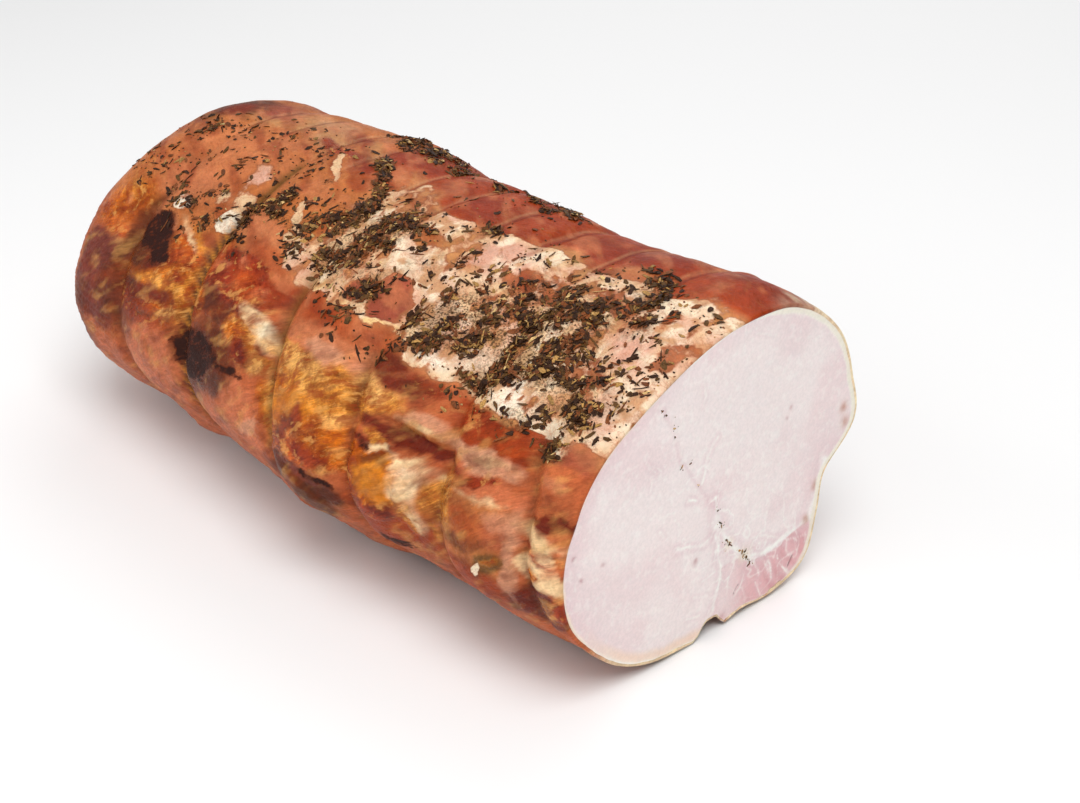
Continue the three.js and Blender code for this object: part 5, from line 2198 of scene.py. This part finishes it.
@dataclass
class CutFaces:
    """The cut faces of the loin and of the side muscle: thin plates with painted veins.

    "dips" holds the depth of the whole face, of its waves, of its fibres and of the side muscle's
    strands. "rim_fat" holds how wide the rim's fat is, and how much wider at the far side and
    below, all in mm.
    """

    shape: LoinShape
    seam: SeamOfFat
    plate: float = 0.6
    least_plate: float = 0.1
    radial_rows: int = 118
    rows_to_edge: float = 1.15
    columns: int = 560
    edge: float = 0.997
    seam_gap: float = 0.03
    dips: tuple[float, float, float, float] = (0.12, 0.12, 0.05, 0.14)
    round_edge: float = 0.22
    wobble: float = 0.7
    net_path: tuple[Point, ...] = ((-4.0, 48.0), (6.0, 30.0), (14.0, 20.0), (34.0, 17.0))
    net_reach: float = 15.0
    net_line: float = 0.07
    net_strength: float = 0.55
    rosy_turns: Window = ((110, 140), (196, 220))
    rosy_edge: Point = (1.5, 9.0)
    far_middle: float = 10.0
    far_reach: Point = (52, 70)
    below_turns: Window = ((196, 226), (262, 268))
    near_turns: Window = ((118, 150), (200, 232))
    rim_fat: Triple = (0.9, 1.5, 0.9)
    sharp_angle: float = 50.0
    pieces: list[Piece] = field(default_factory=list)

    def rim(self, turn: Array) -> Array:
        """The cut outline in the plane of the face, as y and z."""
        return self.shape.outside(np.zeros(len(turn)), turn)[:, 1:]

    def build(self) -> None:
        """Wraps a grid into a closed round plate and cuts it along the seam."""
        front = self.shape.length / 2
        inwards = 1.0 - np.linspace(0, 1, self.radial_rows) ** self.rows_to_edge
        shares = np.concatenate([[0.0, 0.5, 1.0], inwards])
        depths = np.concatenate([[self.plate] * 3, np.zeros(self.radial_rows)])
        turns = np.linspace(-90.0, 270.0, self.columns)
        plate, row, column = new_grid("loin_cut_face", len(shares), len(turns))
        middle = np.array([self.shape.side_shift, self.shape.centre_height])
        edge = middle + (self.rim(turns) - middle) * self.edge
        flat = middle + (edge[column] - middle) * shares[row][:, None]
        depth = depths[row] + np.where(depths[row] == 0.0, self.dip(flat, shares[row]), 0.0)
        set_places(plate, np.column_stack([front - depth, flat]))
        weld(plate)
        muscle = copy_of(plate, "side_muscle_cut_face")
        cut_with(plate, self.seam.cutter(self.shape, 0.0), "DIFFERENCE")
        cut_with(muscle, self.seam.cutter(self.shape, -self.seam_gap), "INTERSECT")
        self.pieces = [plate, muscle]

    def dip(self, flat: Array, share: Array) -> Array:
        """How far the face lies behind its plane: soft waves, fibres, cracks and a round edge."""
        level, waves, fibres, strands = self.dips
        space = np.column_stack([np.zeros(len(flat)), flat])
        depth = level + waves * soft_noise(space, 14.0, 61, 2)
        depth += fibres * soft_noise(space, 2.2, 63, 2)
        depth += self.round_edge * ease(0.985, 1.0, share)
        for vein in FACE_VEINS:
            if vein.ridge:
                depth -= vein.ridge * bell(distance_to_path(flat, vein.path), vein.width)
        lean = self.in_muscle(self.local(flat))
        depth += lean * strands * soft_noise(space * np.array([1.0, 1.0, 0.3]), 2.0, 65, 2)
        return np.clip(depth, 0.0, self.plate - self.least_plate)

    def local(self, flat: Array) -> Array:
        """y and z in mm without the loin's side shift."""
        return flat - np.array([self.shape.side_shift, 0.0])

    def in_muscle(self, local: Array) -> Array:
        """1 under the seam of fat and 0 over it, for y and z without the side shift."""
        line = np.array(self.seam.border)
        over = np.interp(local[:, 0], line[1:, 0], line[1:, 1])
        return ease(-0.3, 0.3, over - local[:, 1]) * (local[:, 0] > line[1, 0])

    def colours(self, flat: Array) -> Array:
        """Linear colours of the face at y and z in mm."""
        space = np.column_stack([np.zeros(len(flat)), flat])
        wobble = np.stack([soft_noise(space, 4.0, 71, 4), soft_noise(space, 4.0, 73, 4)], axis=1)
        local = self.local(flat)
        height = flat[:, 1] - self.shape.centre_height
        turn = np.degrees(np.arctan2(height, local[:, 0])) % 360.0
        radius = np.hypot(height, local[:, 0])
        inside = self.shape.section_radius(turn) - radius
        lean = self.in_muscle(local)
        colour = np.tile(linear(FaceTone.PALE_PINK.value), (len(flat), 1))
        self.paint_meat(colour, space, local, turn, inside, lean)
        self.paint_veins(colour, flat, space, wobble)
        speck = soft_noise(space, 1.5, 79, 2)
        self.lay(colour, FaceTone.FAT, 0.22 * ease(0.3, 0.7, speck) * (1.0 - 0.7 * lean))
        self.paint_rim(colour, turn, inside + 0.4 * wobble[:, 0], lean)
        return np.clip(colour, 0.0, 1.0)

    @staticmethod
    def lay(colour: Array, tone: FaceTone, weight: Array) -> None:
        """Mixes a tone into the face, in place."""
        mix_in(colour, tone, np.clip(weight, 0.0, 1.0))

    def paint_meat(
        self, colour: Array, space: Array, local: Array, turn: Array, inside: Array, lean: Array
    ) -> None:
        """The loin's pale meat and the side muscle's darker meat.

        Args:
            colour: The face's colours, changed in place.
            space: Each place as x, y and z, for noise.
            local: y and z without the side shift.
            turn: Angle of each place.
            inside: Distance from the edge, in mm.
            lean: 1 in the side muscle.
        """
        cloud = soft_noise(space, 16.0, 75, 3)
        self.lay(colour, FaceTone.ROSY, 0.5 * ease(-0.1, 0.7, cloud))
        left = window(turn, self.rosy_turns)
        near_edge = 1.0 - ease(*self.rosy_edge, inside)
        self.lay(colour, FaceTone.ROSY, (0.35 + 0.65 * left) * near_edge * 0.85)
        self.lay(colour, FaceTone.LEAN, lean)
        radius = np.hypot(space[:, 2] - self.shape.centre_height, local[:, 0])
        rays = np.column_stack([turn * 0.9, radius * 0.12, np.zeros(len(turn))])
        rays = soft_noise(rays, 2.6, 77, 3)
        deep = lean * ease(-0.1, 0.7, rays) * ease(8.0, 24.0, local[:, 0]) * 0.8
        self.lay(colour, FaceTone.DEEP_LEAN, deep)
        pale = lean * (1.0 - ease(3.0, 17.0, local[:, 0])) * 0.75
        self.lay(colour, FaceTone.PALE_PINK, pale)

    def paint_veins(self, colour: Array, flat: Array, space: Array, wobble: Array) -> None:
        """The pocket's line, the veins of fat, the cracks' painted shade, the fine net and the
        spots.

        Args:
            colour: The face's colours, changed in place.
            flat: Each place as y and z.
            space: Each place as x, y and z, for noise.
            wobble: How the lines wander, from -1 to 1 in y and z.
        """
        warped = flat + self.wobble * wobble
        pocket = 0.55 * bell(distance_to_path(warped, POCKET_LINE), 0.8)
        self.lay(colour, FaceTone.SEAM_PINK, pocket * (0.7 + 0.5 * soft_noise(space, 4.0, 83, 2)))
        uneven = 0.75 + 0.45 * soft_noise(space, 3.2, 87, 2)
        broken = 0.35 + 0.65 * ease(-0.5, 0.15, soft_noise(space, 2.4, 89, 3))
        for vein in FACE_VEINS:
            away = distance_to_path(warped, vein.path)
            width, strength = vein.width, vein.strength
            if vein.tone is FaceTone.FAT:
                beside = 0.4 * strength * bell(away - width * 2.2, width * 1.6)
                self.lay(colour, FaceTone.SEAM_PINK, beside)
                width, strength = width * uneven, strength * broken
            self.lay(colour, vein.tone, strength * bell(away, width))
        net = np.abs(soft_noise(space + 0.5 * wobble[:, :1], 7.0, 85, 3))
        near_net = bell(distance_to_path(flat, self.net_path), self.net_reach)
        lines = 1.0 - ease(0.0, self.net_line, net)
        self.lay(colour, FaceTone.FAT, self.net_strength * lines * near_net)
        for y, z, size, strength, tone in FACE_SPOTS:
            away = np.hypot(warped[:, 0] - y, warped[:, 1] - z)
            self.lay(colour, tone, strength * bell(away, size))

    def paint_rim(self, colour: Array, turn: Array, inside: Array, lean: Array) -> None:
        """The fat and skin along the edge, thicker below and at the far side.

        Args:
            colour: The face's colours, changed in place.
            turn: Angle of each place.
            inside: Distance from the edge, in mm.
            lean: 1 in the side muscle.
        """
        far = 1.0 - ease(*self.far_reach, np.abs(turn_between(turn, self.far_middle)))
        below = window(turn, self.below_turns)
        side = window(turn, self.near_turns)
        least, more_far, more_below = self.rim_fat
        fat = least + more_far * far + more_below * below
        edge = 1.0 - ease(fat * 0.7, fat * 1.25, inside)
        for tone, weight in (
            (FaceTone.FAT, 0.85 * edge * (1.0 - 0.6 * lean)),
            (FaceTone.CREAMY_RIM, 0.8 * far * edge),
            (FaceTone.PEACH, 0.8 * below * window(inside, ((0.6, 1.4), (2.4, 5.2)))),
            (FaceTone.PEACH, side * 0.5 * (1.0 - ease(0.6, 1.6, inside))),
            (FaceTone.SKIN, (0.2 + 0.3 * side) * (1.0 - ease(0.2, 0.9, inside))),
        ):
            self.lay(colour, tone, weight)

    def dress(self, loin_finish: CutFinish, muscle_finish: CutFinish) -> None:
        """Paints both plates by place."""
        names = (("browned_meat", loin_finish), ("dark_lean", muscle_finish))
        for piece, (slot, finish) in zip(self.pieces, names):
            store_colour(piece, "tone", self.colours(get_places(piece)[:, 1:]))
            cover_with(piece, finish.make(), self.sharp_angle)
            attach(piece, BODY)


# ---- the herbs' pieces ----


class LeafTone(Enum):
    """Named colours of the dried herbs, as screen values from 0 to 255."""

    DARK = (50, 26, 9)
    GREEN = (86, 57, 25)
    BROWN = (114, 62, 29)
    PALE = (160, 120, 66)
    STRAW = (198, 164, 108)


LeafMix = tuple[tuple[LeafTone, float], ...]

LEAF_MIX: LeafMix = (
    (LeafTone.DARK, 0.4),
    (LeafTone.GREEN, 0.26),
    (LeafTone.BROWN, 0.22),
    (LeafTone.PALE, 0.1),
    (LeafTone.STRAW, 0.02),
)

MOIST_LEAF_MIX: LeafMix = (
    (LeafTone.GREEN, 0.4),
    (LeafTone.BROWN, 0.2),
    (LeafTone.PALE, 0.3),
    (LeafTone.STRAW, 0.1),
)


class HerbKind(Enum):
    """The three kinds of herb pieces."""

    FLAKE = "herb_flakes"
    NEEDLE = "herb_needles"
    CRUMB = "herb_crumbs"


@dataclass(frozen=True)
class HerbShape:
    """One kind of herb piece: its sizes in mm, its mesh, how many and how high they stack."""

    kind: HerbKind
    lengths: Point
    widths: Point
    thickness: float
    curl: float
    segments: int
    rings: int
    count: int
    stack: float
    seed: int


HERB_SHAPES: tuple[HerbShape, ...] = (
    HerbShape(HerbKind.FLAKE, (1.4, 3.8), (0.6, 1.5), 0.36, 0.55, 6, 4, 3200, 0.8, 11),
    HerbShape(HerbKind.NEEDLE, (2.4, 6.0), (0.32, 0.62), 0.34, 0.3, 5, 4, 900, 0.9, 12),
    HerbShape(HerbKind.CRUMB, (0.4, 1.1), (0.3, 0.8), 0.4, 0.0, 4, 2, 6000, 0.5, 13),
)


class HerbMaker:
    """Models one herb piece and lays copies of it.

    TILT and JAG spread the random lean and width. CURVE and LEVEL bend a piece along its length,
    and LEAST_FOLD folds it across.
    """

    TILT = 0.22
    JAG = 0.28
    CURVE = 0.2
    LEVEL = 0.3
    LEAST_FOLD = 0.2
    TONE_SPREAD = (0.75, 1.3)

    def __init__(self, form: HerbShape, mix: LeafMix = LEAF_MIX) -> None:
        """Keeps the kind's sizes and tones, and starts its own random draw."""
        self.form, self.mix = form, mix
        self.random = np.random.default_rng(form.seed)

    def template(self) -> tuple[Array, Array]:
        """One piece of unit size: its vertices and its triangles."""
        clear_selection()
        bpy.ops.mesh.primitive_uv_sphere_add(
            segments=self.form.segments, ring_count=self.form.rings, radius=0.5
        )
        blank = bpy.context.object
        bpy.ops.object.mode_set(mode="EDIT")
        bpy.ops.mesh.select_all(action="SELECT")
        bpy.ops.mesh.quads_convert_to_tris(quad_method="BEAUTY", ngon_method="BEAUTY")
        bpy.ops.object.mode_set(mode="OBJECT")
        corners = np.array([v.co for v in blank.data.vertices], float)[:, [2, 0, 1]]
        triangles = np.array([p.vertices[:] for p in blank.data.polygons], int)
        bpy.data.objects.remove(blank)
        return corners, triangles

    def tones(self, count: int) -> Array:
        """A linear colour for each piece."""
        shares = np.array([share for _, share in self.mix])
        picks = self.random.choice(len(self.mix), count, p=shares / shares.sum())
        palette = np.array([linear(tone.value) for tone, _ in self.mix])
        return palette[picks] * self.random.uniform(*self.TONE_SPREAD, (count, 1))

    def lay(self, places: Array, ups: Array, name: str) -> Piece:
        """Lays one piece at each place.

        Args:
            places: Middles, in mm.
            ups: Directions that the pieces lie flat across.
            name: The joined piece's name.

        Returns:
            One joined piece.
        """
        form, random, count = self.form, self.random, len(places)
        corners, triangles = self.template()
        ups = ups + random.normal(0.0, self.TILT, ups.shape)
        ups /= np.linalg.norm(ups, axis=1, keepdims=True)
        side = np.cross(ups, random.normal(0.0, 1.0, ups.shape))
        side /= np.linalg.norm(side, axis=1, keepdims=True)
        long = np.cross(side, ups)
        lengths = random.uniform(*form.lengths, (count, 1))
        widths = random.uniform(*form.widths, (count, 1))
        curl = random.normal(0.0, form.curl, (count, 1))
        fold = random.uniform(self.LEAST_FOLD, 1.0, (count, 1)) * form.curl
        x, y, z = corners.T
        jag = 1.0 + self.JAG * random.normal(0.0, 1.0, (count, len(corners)))
        u = x * lengths
        v = y * widths * jag
        w = z * form.thickness + curl * lengths * self.CURVE * (4 * x * x - self.LEVEL)
        w = w + fold * np.abs(y) * widths
        bodies = (
            places[:, None, :]
            + u[..., None] * long[:, None, :]
            + v[..., None] * side[:, None, :]
            + w[..., None] * ups[:, None, :]
        )
        faces = triangles[None] + (np.arange(count) * len(corners))[:, None, None]
        mesh = bpy.data.meshes.new(name)
        mesh.from_pydata((bodies.reshape(-1, 3) * MM).tolist(), [], faces.reshape(-1, 3).tolist())
        piece = bpy.data.objects.new(name, mesh)
        bpy.context.scene.collection.objects.link(piece)
        store_colour(piece, "tone", np.repeat(self.tones(count), len(corners), axis=0))
        return piece


@dataclass
class HerbTopping:
    """All the dried herbs that lie on the outside.

    "tries" places are drawn for each herb that is wanted, and a place is kept by chance, more
    often where the herbs lie thick and where the noise gathers them into clumps.
    """

    shape: LoinShape
    spread: HerbSpread
    crust: Crust
    forms: tuple[HerbShape, ...] = HERB_SHAPES
    tries: int = 40
    place_seed: int = 50
    last_back: float = 232.0
    turns: Point = (30.0, 158.0)
    clump_size: float = 5.6
    clump_edge: Point = (-0.2, 0.26)
    loose_share: float = 0.03
    least_lift: float = 0.02
    loose_rise: float = 0.25
    slope_step: float = 0.6
    sharp_angle: float = 45.0
    pieces: list[Piece] = field(default_factory=list)

    def draw_places(self, form: HerbShape) -> tuple[Array, Array]:
        """Places and upward directions of one kind, drawn by how thick the herbs lie."""
        random = np.random.default_rng(form.seed + self.place_seed)
        draws = form.count * self.tries
        back = random.uniform(form.lengths[1] * 0.5, self.last_back, draws)
        turn = random.uniform(*self.turns, draws)
        clumps = soft_noise(self.shape.outside(back, turn), self.clump_size, 81, 3)
        chance = self.loose_share + ease(*self.clump_edge, clumps)
        chance *= self.spread.thickness(back, turn)
        keep = np.flatnonzero(random.random(len(back)) < chance)[: form.count]
        back, turn = back[keep], turn[keep]
        base = self.shape.outside(back, turn)
        proud = self.crust.fine_relief(base, back, turn)
        stacked = random.uniform(self.least_lift, form.stack, len(back))
        rise = self.loose_rise + (1.0 - self.loose_rise) * chance[keep]
        points = self.shape.outside(back, turn, proud + stacked * rise)
        ahead = self.shape.outside(back + self.slope_step, turn) - base
        round_it = self.shape.outside(back, turn + self.slope_step) - base
        ups = np.cross(round_it, ahead)
        ups /= np.linalg.norm(ups, axis=1, keepdims=True)
        outward = points - np.array([0.0, self.shape.side_shift, self.shape.centre_height])
        outward[:, 0] = 0.0
        ups *= np.sign(np.sum(ups * outward, axis=1, keepdims=True))
        return points, ups

    def build(self) -> None:
        """Lays every kind."""
        for form in self.forms:
            places, ups = self.draw_places(form)
            self.pieces.append(HerbMaker(form).lay(places, ups, form.kind.value))

    def dress(self, finish: HerbFinish) -> None:
        """Gives the herbs their material."""
        material = finish.make()
        for piece in self.pieces:
            cover_with(piece, material, self.sharp_angle)
            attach(piece, BODY)


@dataclass
class HerbFilling:
    """The herbs in the pocket between the loin's two lobes, with flecks that show at the cut.

    "line" is the pocket in the cut face, as y from the loin's middle and z. "flecks" are places
    in the cut face, as y and z.
    """

    shape: LoinShape
    line: tuple[Point, ...] = (
        (-23.5, 77.5),
        (-19.4, 70.5),
        (-16.8, 62.0),
        (-12.4, 54.5),
        (-6.2, 46.0),
        (-0.8, 38.0),
        (2.6, 30.0),
        (8.4, 24.6),
        (12.4, 21.2),
    )
    thickness: float = 1.0
    length: float = 214.0
    behind_face: float = 0.9
    fleck_depth: float = 0.16
    fleck_form: HerbShape = HerbShape(
        HerbKind.FLAKE, (0.8, 1.9), (0.35, 0.8), 0.22, 0.1, 6, 4, 20, 0.1, 31
    )
    dust_form: HerbShape = HerbShape(
        HerbKind.CRUMB, (0.3, 0.6), (0.25, 0.45), 0.16, 0.0, 4, 2, 44, 0.1, 32
    )
    dust_seed: int = 33
    dust_spread: Triple = (0.0, 0.8, 1.04)
    sharp_angle: float = 45.0
    flecks: tuple[Point, ...] = (
        (-19.8, 77.7), (-18.4, 76.0), (-15.2, 71.1), (-14.7, 68.5), (-8.4, 58.3),
        (-11.6, 58.6), (-5.1, 50.6), (3.4, 39.1), (4.7, 34.8), (5.2, 33.6),
        (7.6, 28.1), (9.0, 26.4), (9.6, 25.6), (13.2, 22.2), (14.6, 21.2),
        (15.8, 20.8), (15.2, 19.5), (16.6, 18.6), (18.2, 16.3), (17.6, 15.6),
    )  # fmt: skip
    piece: Optional[Piece] = None

    def sheet(self) -> Piece:
        """The pocket's layer of herbs, inside the meat."""
        line = np.array(self.line) + np.array([self.shape.side_shift, 0.0])
        along = np.gradient(line, axis=0)
        along /= np.linalg.norm(along, axis=1, keepdims=True)
        side = np.column_stack([-along[:, 1], along[:, 0]]) * self.thickness / 2
        outline = [tuple(p) for p in line + side] + [tuple(p) for p in (line - side)[::-1]]
        front = self.shape.length / 2 - self.behind_face
        return outline_prism("herb_filling", outline, front, self.length - self.behind_face, 0.0)

    def build(self) -> None:
        """Makes the layer and presses the flecks into the cut face."""
        layer = self.sheet()
        tone = np.tile(linear(LeafTone.DARK.value), (len(layer.data.vertices), 1))
        store_colour(layer, "tone", tone)
        front = self.shape.length / 2 - self.fleck_depth
        large = np.array([(front, y, z) for y, z in self.flecks])
        random = np.random.default_rng(self.dust_seed)
        picks = large[random.integers(0, len(large), self.dust_form.count)]
        small = picks + random.normal(0.0, 1.0, picks.shape) * np.array(self.dust_spread)
        parts = [layer]
        for form, places in ((self.fleck_form, large), (self.dust_form, small)):
            ups = np.tile(np.array([[1.0, 0.0, 0.0]]), (len(places), 1))
            maker = HerbMaker(form, MOIST_LEAF_MIX)
            parts.append(maker.lay(places, ups, form.kind.value + "_at_cut"))
        clear_selection()
        for part in parts:
            part.select_set(True)
        bpy.context.view_layer.objects.active = layer
        bpy.ops.object.join()
        self.piece = layer

    def dress(self, finish: HerbFinish) -> None:
        """Gives the filling its material."""
        cover_with(self.piece, finish.make(), self.sharp_angle)
        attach(self.piece, BODY)
        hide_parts("herb_filling")


# ---- the studio ----


@dataclass(frozen=True)
class SoftLamp:
    """A soft lamp: where it stands, what it points at, its size, power in watts and colour."""

    name: str
    place: Triple
    target: Triple
    size: float
    power: float
    colour: Triple = (1.0, 1.0, 1.0)


@dataclass
class Studio:
    """The floor, the lamps and the camera.

    "camera_side" is how far round the camera stands from -Y towards +X, and "camera_height" how
    far up, in degrees. Its place is in mm, and the floor and the lamps are in metres.
    """

    camera_place: Triple = (385.24, -308.50, 289.28)
    camera_side: float = 46.0
    camera_height: float = 28.5
    lens: float = 60.0
    sensor: float = 36.0
    floor_size: float = 8.0
    floor_drop: float = 0.0002
    sky: float = 0.4
    lamps: tuple[SoftLamp, ...] = (
        SoftLamp("key_lamp", (0.5, -0.3, 0.95), (0.02, 0.0, 0.05), 0.65, 9.0),
        SoftLamp("side_lamp", (-0.5, -0.85, 0.62), (-0.03, 0.0, 0.05), 0.5, 3.4),
        SoftLamp("back_lamp", (-0.4, 0.8, 0.85), (0.0, 0.0, 0.05), 0.9, 4.2),
    )

    def build(self) -> None:
        """Sets up floor, sky, lamps and camera."""
        self.floor()
        world = bpy.data.worlds.new("studio_sky")
        world.use_nodes = True
        background = world.node_tree.nodes["Background"]
        background.inputs["Color"].default_value = (1.0, 1.0, 1.0, 1.0)
        background.inputs["Strength"].default_value = self.sky
        scene = bpy.context.scene
        scene.world = world
        scene.view_settings.view_transform = "Standard"
        for lamp in self.lamps:
            self.lamp(lamp)
        scene.camera = self.camera()

    def floor(self) -> None:
        """A wide plain floor."""
        clear_selection()
        bpy.ops.mesh.primitive_plane_add(size=self.floor_size, location=(0, 0, -self.floor_drop))
        floor = bpy.context.object
        floor.name = "studio_floor"
        floor.data.materials.append(FloorFinish().make())

    def lamp(self, lamp: SoftLamp) -> None:
        """One soft square lamp."""
        data = bpy.data.lights.new(lamp.name, "AREA")
        data.size, data.energy, data.color = lamp.size, lamp.power, lamp.colour
        thing = bpy.data.objects.new(lamp.name, data)
        bpy.context.scene.collection.objects.link(thing)
        thing.location = lamp.place
        aim = Vector(lamp.target) - Vector(lamp.place)
        thing.rotation_euler = aim.to_track_quat("-Z", "Y").to_euler()

    def camera(self) -> Piece:
        """The camera at the photograph's viewing angle."""
        data = bpy.data.cameras.new("studio_camera")
        data.lens, data.sensor_width = self.lens, self.sensor
        thing = bpy.data.objects.new("studio_camera", data)
        bpy.context.scene.collection.objects.link(thing)
        side, height = math.radians(self.camera_side), math.radians(self.camera_height)
        level = math.cos(height)
        behind = Vector((math.sin(side) * level, -math.cos(side) * level, math.sin(height)))
        thing.rotation_euler = behind.to_track_quat("Z", "Y").to_euler()
        thing.location = Vector(self.camera_place) * MM
        return thing


# ---- putting it together ----


def report(pieces: Sequence[Piece]) -> None:
    """Logs how many triangles each piece has."""
    for piece in pieces:
        triangles = sum(len(p.vertices) - 2 for p in piece.data.polygons)
        log.info("%s: %d triangles", piece.name, triangles)


def main() -> None:
    """Builds and dresses the roast."""
    logging.basicConfig(level=logging.INFO, format="%(name)s %(message)s")
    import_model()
    shape, spread, seam = LoinShape(), HerbSpread(), SeamOfFat()
    Studio().build()
    crust = Crust(shape, CrustPaint(shape), spread, seam)
    crust.build()
    crust.dress(CrustFinish())
    faces = CutFaces(shape, seam)
    faces.build()
    faces.dress(CutFinish("cut_loin"), CutFinish("cut_side_muscle"))
    topping = HerbTopping(shape, spread, crust)
    topping.build()
    topping.dress(HerbFinish())
    filling = HerbFilling(shape)
    filling.build()
    filling.dress(HerbFinish("dried_herbs_inside"))
    report([*crust.pieces, *faces.pieces, *topping.pieces, filling.piece])


if __name__ == "__main__":
    main()
